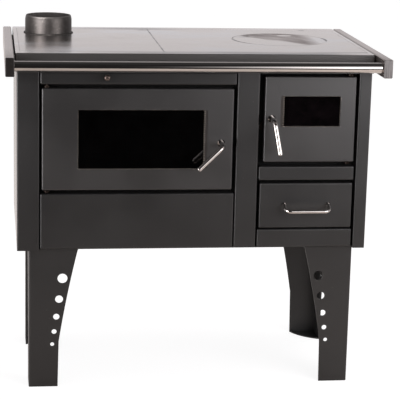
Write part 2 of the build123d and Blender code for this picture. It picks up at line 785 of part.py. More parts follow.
def side_bar(side):
    """Rectangular tube along the side of the cooktop, drilled for its screws and the rail."""
    length = overall_depth - 2 * cap_thickness
    outer = RectangleRounded(bar_width, bar_height, bar_corner)
    inner = RectangleRounded(bar_width - 2 * bar_wall, bar_height - 2 * bar_wall, bar_corner - bar_wall)
    middle_x = side * (bar_inner + bar_width / 2)
    plane = Plane(origin=(middle_x, length / 2, bar_middle_z), x_dir=(1, 0, 0), z_dir=(0, -1, 0))
    bar = extrude(plane * (outer - inner), amount=length)
    start, end = sorted((side * (bar_inner - over), side * (bar_inner + bar_wall + over)))
    for y in fixing_positions:
        bar -= rod_along("x", fixing_radius + hole_gap, start, end, (y, bar_middle_z))
    return bar - rod_along("x", rail_stud_radius + hole_gap, start, end, (rail_y, bar_middle_z))


def bar_end_caps():
    """Push-in caps in both ends of both side bars."""
    caps = []
    spigot_width = bar_width - 2 * bar_wall - 2 * hole_gap
    spigot_height = bar_height - 2 * bar_wall - 2 * hole_gap
    hollow_width = spigot_width - 2 * cap_spigot_wall
    hollow_height = spigot_height - 2 * cap_spigot_wall
    for side in (-1, 1):
        for end in (-1, 1):
            tube_end = end * (overall_depth / 2 - cap_thickness)
            middle_x = side * (bar_inner + bar_width / 2)
            plane = Plane(origin=(middle_x, tube_end, bar_middle_z), x_dir=(1, 0, 0), z_dir=(0, end, 0))
            face = RectangleRounded(bar_width, bar_height, bar_corner)
            cap = extrude(plane * face, amount=cap_thickness)
            outer_face = cap.faces().sort_by(Axis.Y)[0 if end < 0 else -1]
            cap = fillet(outer_face.edges(), cap_round)
            spigot = Rectangle(spigot_width, spigot_height) - Rectangle(hollow_width, hollow_height)
            cap += extrude(plane * spigot, amount=-cap_spigot)
            caps.append(cap)
    return caps


def bar_fixings():
    """Spacer rings between the frame and the side bars, and the screws through them."""
    pieces = []
    for side in (-1, 1):
        for y in fixing_positions:
            place = (y, bar_middle_z)
            ring_x = sorted((side * frame_side, side * bar_inner))
            ring = rod_along("x", fixing_spacer_radius, *ring_x, place)
            ring -= rod_along("x", fixing_radius + hole_gap, ring_x[0] - over, ring_x[1] + over, place)
            wall_inner = frame_side - frame_wall
            head_x = sorted((side * wall_inner, side * (wall_inner - fixing_head_height)))
            screw = rod_along("x", fixing_head_radius, *head_x, place)
            shank_x = sorted((side * (wall_inner - over), side * (bar_inner + bar_wall + fixing_past_bar)))
            pieces += [ring, screw + rod_along("x", fixing_radius, *shank_x, place)]
    return pieces


def rail_tube():
    """Polished tube across the front between the side bars."""
    place = (rail_y, bar_middle_z)
    tube = rod_along("x", rail_radius, -bar_inner, bar_inner, place)
    return tube - rod_along("x", rail_radius - rail_wall, -bar_inner - over, bar_inner + over, place)


def rail_plugs():
    """Turned plugs in the ends of the rail, each with a stud through the side bar's wall."""
    plugs = []
    place = (rail_y, bar_middle_z)
    for side in (-1, 1):
        plug_x = sorted((side * bar_inner, side * (bar_inner - rail_plug_length)))
        plug = rod_along("x", rail_radius - rail_wall - seat_gap, *plug_x, place)
        stud_x = sorted((side * (bar_inner - over), side * (bar_inner + rail_stud_length)))
        plugs.append(plug + rod_along("x", rail_stud_radius, *stud_x, place))
    return plugs


# ---------------------------------------------------------------- legs

def leg_edge(height):
    """Width of a leg's wing at a height above the floor, along the chord of its flare."""
    rise = (height - leg_ankle_height) / (leg_top - leg_ankle_height)
    chord = leg_width_ankle + rise * (leg_width_top - leg_width_ankle)
    return chord - 2 * leg_flare_sag * rise * (1 - rise)


def wing_outline():
    """One wing of a leg: upright outer edge, and an inner edge that flares to the top."""
    middle = (leg_ankle_height + leg_top) / 2
    sagged = (leg_width_ankle + leg_width_top) / 2 - leg_flare_sag
    outline = Polyline((leg_width_top, leg_top), (0, leg_top), (0, 0), (leg_width_foot, 0))
    outline += Line((leg_width_foot, 0), (leg_width_ankle, leg_ankle_height))
    ankle = (leg_width_ankle, leg_ankle_height)
    outline += ThreePointArc(ankle, (sagged, middle), (leg_width_top, leg_top))
    return make_face(outline)


def leg_holes():
    """Row of round holes up a wing, each smaller and closer than the one above."""
    holes = []
    height = leg_top - leg_hole_from_top
    pitch = leg_hole_first_pitch
    radius = leg_hole_first_radius
    for _ in range(leg_hole_count):
        holes.append(Pos(leg_edge(height) - leg_hole_web - radius, height) * Circle(radius))
        height -= pitch
        pitch *= leg_hole_pitch_ratio
        radius *= leg_hole_radius_ratio
    return holes


def leg_in_own_corner(holed_along_x):
    """Leg with its outer corner on the Z axis and its wings along +X and +Y."""
    plain = wing_outline()
    holed = wing_outline() - leg_holes()
    along_x, along_y = (holed, plain) if holed_along_x else (plain, holed)
    x_plane = Plane(origin=(0, leg_sheet, 0), x_dir=(1, 0, 0), z_dir=(0, -1, 0))
    y_plane = Plane(origin=(0, 0, 0), x_dir=(0, 1, 0), z_dir=(1, 0, 0))
    leg = extrude(x_plane * along_x, amount=leg_sheet) + extrude(y_plane * along_y, amount=leg_sheet)
    corner = leg.edges().filter_by(Axis.Z).sort_by(lambda edge: edge.center().X + edge.center().Y)[0]
    leg = fillet(corner, leg_corner_round)
    weld = leg_sheet / 2
    cut = leg_bolt_inset + leg_plate_edge
    chamfered = Polyline(
        (weld, weld), (leg_width_top, weld), (leg_width_top, cut),
        (cut, leg_width_top), (weld, leg_width_top), close=True,
    )
    leg += Pos(0, 0, leg_top - leg_plate) * extrude(make_face(chamfered), amount=leg_plate)
    foot = Polyline((leg_width_foot, weld), (weld, weld), (weld, leg_width_foot))
    bulge = (leg_width_foot + foot_arc_inset) / 2
    foot += ThreePointArc((weld, leg_width_foot), (bulge, bulge), (leg_width_foot, weld))
    leg += extrude(make_face(foot), amount=foot_plate)
    return leg - leg_plate_holes()


def leg_plate_spots():
    """Bolt places on the top plate of a leg, from its outer corner."""
    far = leg_bolt_inset + leg_bolt_spacing
    return [(leg_bolt_inset, leg_bolt_inset), (far, leg_bolt_inset), (leg_bolt_inset, far)]


def leg_plate_holes():
    """Cutters for the bolts in the top plate of a leg."""
    radius = leg_bolt_radius + hole_gap
    through = (leg_top - leg_plate - over, leg_top + over)
    return [rod_along("z", radius, *through, spot) for spot in leg_plate_spots()]


def leg(side, end):
    """Leg at the left (-1) or right (1), front (-1) or back (1) corner."""
    corner_y = leg_front if end < 0 else leg_back
    model = leg_in_own_corner(holed_along_x=end < 0)
    if end > 0:
        model = mirror(model, Plane.XZ)
    if side > 0:
        model = mirror(model, Plane.YZ)
    return Pos(side * leg_outer, corner_y, 0) * model


def leg_bolt_places():
    """All bolt axes of the four legs."""
    places = []
    for side in (-1, 1):
        for end, corner_y in ((-1, leg_front), (1, leg_back)):
            for x, y in leg_plate_spots():
                places.append((side * (leg_outer - x), corner_y - end * y))
    return places


def leg_bolt_shanks(radius):
    """Round bars on the bolt axes, through the leg plates and the bottom panel."""
    top = panels_bottom + leg_bolt_past
    return [rod_along("z", radius, leg_top - leg_plate - over, top, place) for place in leg_bolt_places()]


def leg_bolts():
    """Hexagon bolts from below."""
    bolts = []
    head_top = leg_top - leg_plate
    for place, shank in zip(leg_bolt_places(), leg_bolt_shanks(leg_bolt_radius)):
        head = Pos(*place, head_top - leg_bolt_head_height) * extrude(
            RegularPolygon(leg_bolt_head_radius, 6), amount=leg_bolt_head_height
        )
        bolts.append(head + shank)
    return bolts


# ---------------------------------------------------------------- oven

oven_cavity_x = (oven_door.mouth_x[0] - oven_side_room, centre_post_left)
oven_cavity_z = (oven_door.mouth_z[0] - oven_floor_room, oven_door.mouth_z[1] + oven_top_room)
oven_back = body_back - sheet - oven_back_room - oven_sheet
oven_top = oven_cavity_z[1] + oven_sheet


def oven_box():
    """Seamed sheet box, open to the front plate."""
    x = (oven_cavity_x[0] - oven_sheet, oven_cavity_x[1] + oven_sheet)
    z = (oven_cavity_z[0] - oven_sheet, oven_top)
    blank = block(x, (plate_back, oven_back + oven_sheet), z)
    blank = fillet(blank.edges().filter_by(Axis.Y), oven_corner)
    cavity = block(oven_cavity_x, (plate_back - over, oven_back), oven_cavity_z)
    return blank - fillet(cavity.edges().filter_by(Axis.Y), oven_corner - oven_sheet)


def oven_runners():
    """Angle runners on the sides of the oven, two levels on each side."""
    runners = []
    y = (plate_back + runner_end_gap, oven_back - runner_end_gap)
    for wall, inward in ((oven_cavity_x[0], 1), (oven_cavity_x[1], -1)):
        for level in (lower_runner_level, upper_runner_level):
            z = oven_cavity_z[0] + level
            web_x = sorted((wall, wall + inward * runner_sheet))
            ledge_x = sorted((wall, wall + inward * runner_width))
            web = block(web_x, y, (z - runner_height, z))
            runners.append(web + block(ledge_x, y, (z - runner_sheet, z)))
    return runners


def oven_rack():
    """Wire rack: a bent rod frame with bars across it, on the lower runners."""
    level = oven_cavity_z[0] + lower_runner_level + rack_rod_radius + seat_gap
    half_x = (oven_cavity_x[1] - oven_cavity_x[0]) / 2 - rack_gap - rack_rod_radius
    middle_x = (oven_cavity_x[0] + oven_cavity_x[1]) / 2
    y = (plate_back + runner_end_gap, oven_back - runner_end_gap)
    half_y = (y[1] - y[0]) / 2 - rack_rod_radius
    path = FilletPolyline((0, half_y), (half_x, half_y), (half_x, -half_y), (0, -half_y), radius=rack_corner)
    section = Plane(origin=(0, half_y, 0), z_dir=(1, 0, 0)) * Circle(rack_rod_radius)
    half_loop = sweep(section, path=path)
    rack = half_loop + mirror(half_loop, Plane.YZ)
    first = rack_bar_inset - half_x
    pitch = -2 * first / (rack_bar_count - 1)
    for index in range(rack_bar_count):
        rack += rod_along("y", rack_bar_radius, -half_y, half_y, (first + index * pitch, rack_bar_rise))
    return Pos(middle_x, (y[0] + y[1]) / 2, level) * rack


# ---------------------------------------------------------------- smoke way and damper

damper_x = -body_side + damper_from_left
flue_box_y = collar_centre[1] - collar_radius - flue_box_front_room
flue_box_x = (-body_side + sheet + seat_gap, damper_x + damper_window_width / 2 + flue_box_side_room)
flue_box_z = (oven_top + seat_gap, ledge_bottom - seat_gap)


def damper_place():
    """The damper rod's place in X and Z."""
    return (damper_x, body_top - damper_below_frame)


def damper_window():
    """Opening in the wall of the flue box that the gate closes."""
    centre = damper_place()[0]
    x = (centre - damper_window_width / 2, centre + damper_window_width / 2)
    low = flue_box_z[0] + damper_window_sill
    return x, (low, low + damper_window_height)


def flue_box():
    """Sheet walls that shut the flue off from the way over the oven, and a floor beside it."""
    back = body_back - frame_wall - seat_gap
    wall_y = (flue_box_y, flue_box_y + baffle_sheet)
    box = block(flue_box_x, wall_y, flue_box_z)
    box += block((flue_box_x[1] - baffle_sheet, flue_box_x[1]), (flue_box_y, back), flue_box_z)
    oven_left = oven_cavity_x[0] - oven_sheet - seat_gap
    floor_z = (flue_box_z[0], flue_box_z[0] + baffle_sheet)
    box += block((flue_box_x[0], oven_left), (flue_box_y, back), floor_z)
    drop_z = (oven_cavity_z[0] - oven_sheet, flue_box_z[0] + baffle_sheet)
    drop_y = (oven_back + oven_sheet + seat_gap, back)
    box += block((oven_left - baffle_sheet, oven_left), drop_y, drop_z)
    window_x, window_z = damper_window()
    return box - block(window_x, (wall_y[0] - over, wall_y[1] + over), window_z)


def damper_gate():
    """Plate that closes the window, welded on the end of its rod."""
    window_x, window_z = damper_window()
    x = (window_x[0] - damper_lap, window_x[1] + damper_lap)
    z = (oven_top + seat_gap, window_z[1] + damper_lap)
    back = flue_box_y - seat_gap
    gate = rounded_opening(x, z, back - damper_sheet, back, fold_radius)
    rod_front = body_front - knob_gap - knob_bore_depth
    return gate + rod_along("y", damper_rod_radius, rod_front, back, damper_place())


def damper_knob():
    """Turned steel knob on the rod's front end."""
    start = body_front - knob_gap - knob_length
    taper_end = knob_grip_length + knob_taper
    with BuildSketch(Plane.XY) as section:
        with BuildLine():
            Line((0, 0), (knob_radius - knob_round, 0))
            RadiusArc((knob_radius - knob_round, 0), (knob_radius, knob_round), -knob_round)
            Polyline(
                (knob_radius, knob_round), (knob_radius, knob_grip_length), (knob_neck_radius, taper_end),
                (knob_neck_radius, knob_length), (0, knob_length), (0, 0),
            )
        make_face()
    knob = revolve(section.sketch, axis=Axis.Y)
    place = damper_place()
    knob = Pos(place[0], start, place[1]) * knob
    back = start + knob_length
    bore = damper_rod_radius + running_gap
    return knob - rod_along("y", bore, back - knob_bore_depth - seat_gap, back + over, place)


def damper_bush():
    """Flanged bush that guides the rod through the inner front plate."""
    place = damper_place()
    ends = (plate_front - damper_bush_reach, plate_back + damper_bush_reach)
    bush = rod_along("y", damper_bush_radius, *ends, place)
    flange = (plate_front - damper_bush_flange, plate_front)
    bush += rod_along("y", damper_bush_flange_radius, *flange, place)
    return bush - rod_along("y", damper_rod_radius + running_gap, ends[0] - over, ends[1] + over, place)


def header_panel():
    """Narrow panel over the oven door with the hole for the damper rod."""
    panel = folded_tray(left_bay, (header_bottom, front_inner_top), lip_depth)
    hole = damper_rod_radius + damper_rod_room
    return panel - rod_along("y", hole, body_front - over, body_front + sheet + over, damper_place())


# ---------------------------------------------------------------- firebox

fire_x = (oven_cavity_x[1] + oven_sheet + seat_gap, body_side - sheet - fire_side_gap)
fire_back = body_back - sheet - fire_back_gap
fire_floor = fire_door.mouth_z[0] - fire_floor_below_mouth
fire_top = ledge_bottom - seat_gap
grate_x_middle = (drawer_x[0] + drawer_x[1]) / 2
grate_y_middle = (plate_back + fire_back) / 2
grate_length = fire_back - plate_back - 2 * grate_end_room


def firebox_shell():
    """Steel box round the fire and the ash space, with a floor that carries the grate."""
    y = (plate_back, fire_back)
    full_z = (panels_bottom, fire_top)
    left = block((fire_x[0], fire_x[0] + fire_sheet), y, (panels_bottom, oven_top))
    right = block((fire_x[1] - fire_sheet, fire_x[1]), y, full_z)
    back = block(fire_x, (fire_back - fire_sheet, fire_back), full_z)
    floor = block(fire_x, y, (fire_floor - fire_sheet, fire_floor))
    half_x = grate_width / 2 - grate_lap
    half_y = grate_length / 2 - grate_lap
    hole_x = (grate_x_middle - half_x, grate_x_middle + half_x)
    hole_y = (grate_y_middle - half_y, grate_y_middle + half_y)
    floor -= block(hole_x, hole_y, (fire_floor - fire_sheet - over, fire_floor + over))
    return left + right + back + floor


def brick_row(start, end, count):
    """Spans of equal bricks along a wall with a joint between them."""
    length = (end - start - brick_gap * (count - 1)) / count
    starts = [start + index * (length + brick_gap) for index in range(count)]
    return [(low, low + length) for low in starts]


def firebricks():
    """Loose fireclay bricks on both sides and at the back of the fire."""
    z = (fire_floor, oven_top - seat_gap)
    inner_left = fire_x[0] + fire_sheet + seat_gap
    inner_right = fire_x[1] - fire_sheet - seat_gap
    inner_back = fire_back - fire_sheet - seat_gap
    bricks = []
    for span in brick_row(plate_back + brick_front_gap, inner_back, side_brick_count):
        bricks.append(block((inner_left, inner_left + brick_thickness), span, z))
        bricks.append(block((inner_right - brick_thickness, inner_right), span, z))
    back_start = inner_left + brick_thickness + brick_gap
    back_end = inner_right - brick_thickness - brick_gap
    for span in brick_row(back_start, back_end, back_brick_count):
        bricks.append(block(span, (inner_back - brick_thickness, inner_back), z))
    return bricks


def grate():
    """Cast grate with two rows of slots, tapered to let ash fall, on the firebox floor."""
    x = (grate_x_middle - grate_width / 2, grate_x_middle + grate_width / 2)
    y = (grate_y_middle - grate_length / 2, grate_y_middle + grate_length / 2)
    plate = block(x, y, (fire_floor, fire_floor + grate_thickness))
    plate = fillet(plate.edges().filter_by(Axis.Z), grate_corner)
    row_pitch = grate_length / 2 - grate_lap
    slot = SlotOverall(row_pitch - grate_slot_web, grate_slot_width, rotation=90)
    row = GridLocations(grate_slot_pitch, row_pitch, grate_slot_count, 2)
    slots = Sketch(children=[place * slot for place in row])
    placed = Pos(grate_x_middle, grate_y_middle, fire_floor - over) * slots
    return plate - extrude(placed, amount=grate_thickness + 2 * over)


# ---------------------------------------------------------------- ash drawer

def ash_pan_place():
    """Width and height of the ash pan."""
    x = (drawer_x[0] + pan_side_inset, drawer_x[1] - pan_side_inset)
    floor = panels_bottom + drawer_runner_height + sheet + seat_gap
    return x, (floor, floor + pan_height)


def drawer_front():
    """Folded front of the ash drawer."""
    return folded_tray(drawer_x, drawer_z, door_depth)


def ash_pan():
    """Open pan with a wide front plate that closes the back of the drawer front."""
    x, z = ash_pan_place()
    front = body_front + door_depth
    blank = block(x, (front - pan_sheet, front + pan_length), z)
    hollow_y = (front, front + pan_length - pan_sheet)
    hollow = block((x[0] + pan_sheet, x[1] - pan_sheet), hollow_y, (z[0] + pan_sheet, z[1] + over))
    inset = sheet + seat_gap
    cover_x = (drawer_x[0] + inset, drawer_x[1] - inset)
    cover_z = (drawer_z[0] + inset, drawer_z[1] - inset)
    return blank - hollow + block(cover_x, (front - sheet, front), cover_z)


def drawer_pull():
    """Bent wire pull that droops from its two feet."""
    middle = (drawer_x[0] + drawer_x[1]) / 2
    foot_z = drawer_z[0] + pull_rise
    left = middle - pull_width / 2
    right = middle + pull_width / 2
    out = body_front - pull_standoff
    bar_z = foot_z - pull_drop
    start = Vector(left, body_front, foot_z)
    left_bend = Vector(left, out, bar_z)
    right_bend = Vector(right, out, bar_z)
    end = Vector(right, body_front, foot_z)
    path = FilletPolyline(start, left_bend, right_bend, end, radius=pull_bend)
    section = Plane(origin=start, z_dir=left_bend - start) * Circle(pull_rod_radius)
    pull = sweep(section, path=path)
    weld_z = foot_z - pull_drop / pull_standoff * pull_foot_length / 2
    for foot_x in (left, right):
        weld_y = (body_front - pull_foot_length, body_front)
        pull += rod_along("y", pull_rod_radius + pull_foot_flange, *weld_y, (foot_x, weld_z))
    margin = 4 * pull_rod_radius
    behind = (body_front, body_front + margin)
    return pull - block((left - margin, right + margin), behind, (foot_z - margin, foot_z + margin))


def drawer_runners():
    """Folded runners on the bottom panel: a foot, a web with a guide lip, and a ledge."""
    pan_x, pan_z = ash_pan_place()
    y = (plate_back + drawer_runner_end_gap, fire_back - fire_sheet - drawer_runner_end_gap)
    top = pan_z[0] - seat_gap
    runners = []
    for side, edge in ((-1, pan_x[0]), (1, pan_x[1])):
        web = edge + side * pan_runner_gap
        web_x = sorted((web, web + side * runner_sheet))
        foot_x = sorted((web, web + side * drawer_runner_ledge))
        ledge_x = sorted((web, web - side * drawer_runner_ledge))
        runner = block(web_x, y, (panels_bottom, top + drawer_runner_lip))
        runner += block(foot_x, y, (panels_bottom, panels_bottom + runner_sheet))
        runners.append(runner + block(ledge_x, y, (top - runner_sheet, top)))
    return runners


# ---------------------------------------------------------------- writing the pieces

def as_group(pieces):
    """Several separate solids as one node."""
    return Compound(children=[piece.solid() if len(piece.solids()) == 1 else piece for piece in pieces])


nodes = {
    "left_side_panel": side_panel(-1, left_post_edge),
    "right_side_panel": side_panel(1, right_post_edge),
    "back_panel": back_panel(),
    "bottom_panel": bottom_panel(),
    "inner_front_plate": inner_front_plate(),
    "centre_post": centre_post(),
    "latch_keepers": as_group(latch_keepers()),
    "oven_header_panel": header_panel(),
    "lower_left_panel": folded_tray(left_bay, (panels_bottom, lower_left_top), lip_depth),
    "firebox_sill_panel": folded_tray(right_bay, (sill_bottom, sill_top), lip_depth),
    "lower_right_panel": folded_tray(right_bay, (panels_bottom, lower_right_top), lip_depth),
    "hinge_lugs": as_group(hinge_lugs()),
    "cooktop_frame": cooktop_frame(),
    "flue_plate": flue_plate(),
    "hob_plate": hob_plate(),
    "hob_disc": hob_disc(),
    "flue_collar": flue_collar(),
    "side_bar_left": side_bar(-1),
    "side_bar_right": side_bar(1),
    "bar_end_caps": as_group(bar_end_caps()),
    "bar_fixings": as_group(bar_fixings()),
    "rail_tube": rail_tube(),
    "rail_plugs": as_group(rail_plugs()),
    "leg_front_left": leg(-1, -1),
    "leg_front_right": leg(1, -1),
    "leg_rear_left": leg(-1, 1),
    "leg_rear_right": leg(1, 1),
    "leg_bolts": as_group(leg_bolts()),
    "oven_box": oven_box(),
    "oven_shelf_runners": as_group(oven_runners()),
    "oven_rack": oven_rack(),
    "flue_box": flue_box(),
    "damper_bush": damper_bush(),
    "damper_gate": damper_gate(),
    "damper_knob": damper_knob(),
    "firebox_shell": firebox_shell(),
    "firebricks": as_group(firebricks()),
    "grate": grate(),
    "drawer_runners": as_group(drawer_runners()),
    "drawer_front": drawer_front(),
    "ash_pan": ash_pan(),
    "drawer_handle": drawer_pull(),
}
for name, door in (("oven", oven_door), ("firebox", fire_door)):
    nodes[name + "_door_panel"] = door_panel(door)
    nodes[name + "_door_liner"] = door_liner(door)
    nodes[name + "_door_glass"] = door_glass(door)
    nodes[name + "_glass_gasket"] = glass_gasket(door)
    nodes[name + "_glass_clips"] = as_group(glass_clips(door))
    nodes[name + "_door_rope"] = door_rope(door)
    nodes[name + "_door_pins"] = as_group(door_pins(door))
    nodes[name + "_handle"] = door_handle(door)
    nodes[name + "_latch_tongue"] = latch_tongue(door)

os.makedirs("parts", exist_ok=True)
for name, solid in nodes.items():
    export_step(solid, os.path.join("parts", name + ".step"))
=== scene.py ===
import json
import math

import bpy
from mathutils import Matrix, Vector


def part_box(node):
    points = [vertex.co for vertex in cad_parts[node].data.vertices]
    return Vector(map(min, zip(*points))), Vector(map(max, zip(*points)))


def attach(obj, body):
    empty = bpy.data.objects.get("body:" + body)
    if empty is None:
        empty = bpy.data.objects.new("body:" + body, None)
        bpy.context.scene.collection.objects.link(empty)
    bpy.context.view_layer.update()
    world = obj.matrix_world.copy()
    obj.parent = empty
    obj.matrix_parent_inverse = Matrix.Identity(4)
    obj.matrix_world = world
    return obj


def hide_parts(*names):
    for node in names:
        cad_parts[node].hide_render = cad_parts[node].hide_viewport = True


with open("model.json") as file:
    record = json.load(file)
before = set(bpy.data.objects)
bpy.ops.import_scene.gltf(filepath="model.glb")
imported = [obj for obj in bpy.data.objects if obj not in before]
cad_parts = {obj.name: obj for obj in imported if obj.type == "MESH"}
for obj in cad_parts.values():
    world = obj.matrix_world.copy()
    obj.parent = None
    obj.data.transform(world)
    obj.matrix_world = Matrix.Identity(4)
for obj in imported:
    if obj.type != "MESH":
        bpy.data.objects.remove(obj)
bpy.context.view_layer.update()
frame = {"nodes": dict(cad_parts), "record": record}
nodes = frame["nodes"]

# A wood cookstove: black heat-resistant paint on folded sheet steel, a ground steel
# cooktop, stainless grips and rail, black windows. Metres; the front faces -Y.

MM = 0.001

# -------- places on the stove

hob_low, hob_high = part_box("hob_plate")
flue_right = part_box("flue_plate")[1].x
hob_top = hob_high.z
plate_front = hob_low.y
plate_rear = hob_high.y
plate_seam = (flue_right + hob_low.x) / 2  # the joint between the two loose plates
side_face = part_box("right_side_panel")[1].x  # outer faces of the side panels, both sides
bar_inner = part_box("side_bar_right")[0].x  # inner faces of the side bars, both sides
collar_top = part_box("flue_collar")[1].z

DISC_CENTRE = (0.242, 0.063)
DISC_RADIUS = 0.1185
COLLAR_CENTRE = (-0.336, 0.174)
COLLAR_RADIUS = 0.059
COLLAR_BORE = 0.0565
GRIP_LEAN = math.radians(12)  # the real grips lean this far out from the doors
GRIP_BACK = -0.242  # the grips lie in front of this depth, their shanks behind it

# -------- helpers

def linear(colour):
    """Linear colour of an sRGB hex value such as #3A3A3B; other values stay as they are."""
    if not isinstance(colour, str):
        return colour
    channels = [int(colour[i:i + 2], 16) / 255 for i in (1, 3, 5)]
    return [c / 12.92 if c <= 0.04045 else ((c + 0.055) / 1.055) ** 2.4 for c in channels] + [1.0]


def grey(value):
    """Linear grey of the given level."""
    return [value, value, value, 1.0]


def add(tree, kind, sockets=None, stops=(), **settings):
    """Adds a node with its settings, and sets or links its sockets by name or number. A node
    given for a socket is linked by its first live output, and a hex value is made linear. The
    stops of a colour ramp are its positions and colours."""
    node = tree.nodes.new(kind)
    for name, value in settings.items():
        setattr(node, name, value)
    for socket, value in (sockets or {}).items():
        if isinstance(value, bpy.types.Node):
            value = next(output for output in value.outputs if output.enabled)
        if isinstance(value, bpy.types.NodeSocket):
            tree.links.new(value, node.inputs[socket])
        else:
            node.inputs[socket].default_value = linear(value)
    for number, (position, colour) in enumerate(stops):
        elements = node.color_ramp.elements
        element = elements[number] if number < len(elements) else elements.new(1.0)
        element.position = position
        element.color = linear(colour)
    return node


def empty_tree(owner):
    """The emptied node tree of a material, a lamp's data or a world."""
    owner.use_nodes = True
    owner.node_tree.nodes.clear()
    return owner.node_tree


def new_object(name, data):
    """A new object in the scene."""
    item = bpy.data.objects.new(name, data)
    bpy.context.scene.collection.objects.link(item)
    return item


# -------- camera

CAMERA_PLACE = Vector((-0.4822, -3.9343, 1.3389))
CAMERA_LENS = 144.76  # mm, for the sensor's width
CAMERA_SENSOR = 36.0  # mm
CAMERA_TURN = 0.13229  # radians to the right of +Y
CAMERA_TILT = 0.22727  # radians below level
CAMERA_ROLL = 0.02409  # radians
CAMERA_REACH = 60.0

camera = new_object("photo_camera", bpy.data.cameras.new("photo_camera"))
camera.data.lens = CAMERA_LENS
camera.data.sensor_width = CAMERA_SENSOR
camera.data.clip_end = CAMERA_REACH
turn = Matrix.Rotation(-CAMERA_TURN, 4, "Z")
tilt = Matrix.Rotation(math.pi / 2 - CAMERA_TILT, 4, "X")
roll = Matrix.Rotation(CAMERA_ROLL, 4, "Z")
camera.matrix_world = Matrix.Translation(CAMERA_PLACE) @ turn @ tilt @ roll
bpy.context.scene.camera = camera
bpy.context.scene.view_settings.view_transform = "Standard"


# -------- light

WORLD_LEVEL = 0.45  # of the world on matt surfaces
BACK_LEVEL = 0.84  # white paper behind and beside the stove, in reflections
HIGH_LEVEL = 0.3  # the same paper higher up, where less light falls on it
FRONT_LEVEL = 0.02  # dark studio behind the camera
CEILING_LEVEL = 0.04
PAPER_RISE = (0.2, 0.64)  # the paper dims between these upward parts of a direction
FRONT_TURN = (-0.6, 0.05)  # the studio turns to paper between these backward parts
CEILING_RISE = (0.86, 0.94)  # the dark ceiling starts between these upward parts
LIGHT_TINT = (1.0, 0.965, 0.985)  # of everything that lights the stove


def make_world():
    """White all round for the camera; in reflections it is dark behind the camera and above."""
    world = bpy.data.worlds.new("studio")
    bpy.context.scene.world = world
    tree = empty_tree(world)
    coordinates = add(tree, "ShaderNodeTexCoord").outputs
    direction = add(tree, "ShaderNodeSeparateXYZ", {"Vector": coordinates["Generated"]}).outputs
    paper = add(tree, "ShaderNodeMapRange", {
        "Value": direction["Z"], "From Min": PAPER_RISE[0], "From Max": PAPER_RISE[1],
        "To Min": BACK_LEVEL, "To Max": HIGH_LEVEL}, interpolation_type="SMOOTHSTEP")
    around = add(tree, "ShaderNodeMapRange", {
        "Value": direction["Y"], "From Min": FRONT_TURN[0], "From Max": FRONT_TURN[1],
        "To Min": FRONT_LEVEL, "To Max": paper}, interpolation_type="SMOOTHSTEP")
    above = add(tree, "ShaderNodeMapRange", {
        "Value": direction["Z"], "From Min": CEILING_RISE[0], "From Max": CEILING_RISE[1]},
        interpolation_type="SMOOTHSTEP")
    mirrored = add(tree, "ShaderNodeMix", {"Factor": above, "A": around, "B": CEILING_LEVEL})
    rays = add(tree, "ShaderNodeLightPath").outputs
    seen = add(tree, "ShaderNodeMix", {"Factor": rays["Is Camera Ray"], "A": mirrored, "B": 1.0})
    shown = rays["Is Camera Ray"]
    for kind in ("Is Glossy Ray", "Is Transmission Ray"):
        shown = add(tree, "ShaderNodeMath", {0: shown, 1: rays[kind]}, operation="MAXIMUM")
    level = add(tree, "ShaderNodeMix", {"Factor": shown, "A": WORLD_LEVEL, "B": seen})
    tint = add(tree, "ShaderNodeMix", {
        "Factor": rays["Is Camera Ray"], "A": [*LIGHT_TINT, 1.0], "B": grey(1.0)}, data_type="RGBA")
    background = add(tree, "ShaderNodeBackground", {"Color": tint, "Strength": level})
    add(tree, "ShaderNodeOutputWorld", {"Surface": background})


def softbox(name, place, target, size, radiance):
    """Rectangular area lamp that faces a point."""
    data = bpy.data.lights.new(name, "AREA")
    data.shape = "RECTANGLE"
    data.size, data.size_y = size
    data.energy = radiance * math.pi * size[0] * size[1]
    data.color = LIGHT_TINT
    lamp = new_object(name, data)
    lamp.location = place
    facing = Vector(target) - Vector(place)
    lamp.rotation_euler = facing.to_track_quat("-Z", "Y").to_euler()
    lamp.visible_camera = False
    return lamp


def dim_softbox(lamp, fade, bright_line, reach):
    """Dims a lamp towards its left over a share of its width, and above and below a bright line;
    its light keeps up for about the given reach from that line."""
    width = lamp.data.size
    tree = empty_tree(lamp.data)
    coordinates = add(tree, "ShaderNodeTexCoord").outputs
    spot = add(tree, "ShaderNodeSeparateXYZ", {"Vector": coordinates["Object"]}).outputs
    share = add(tree, "ShaderNodeMapRange", {
        "Value": spot["X"], "From Min": -width / 2, "From Max": fade * width - width / 2})
    across = add(tree, "ShaderNodeMath", {0: share, 1: 3.0}, operation="POWER")
    off = add(tree, "ShaderNodeMath", {0: spot["Y"], 1: bright_line}, operation="SUBTRACT")
    off = add(tree, "ShaderNodeMath", {0: off, 1: reach}, operation="DIVIDE")
    square = add(tree, "ShaderNodeMath", {0: off, 1: off}, operation="MULTIPLY")
    fall = add(tree, "ShaderNodeMath", {0: square, 1: -0.5}, operation="MULTIPLY")
    bell = add(tree, "ShaderNodeMath", {0: fall}, operation="EXPONENT")
    level = add(tree, "ShaderNodeMath", {0: across, 1: bell}, operation="MULTIPLY")
    emission = add(tree, "ShaderNodeEmission", {"Strength": level})
    add(tree, "ShaderNodeOutputLight", {"Surface": emission})


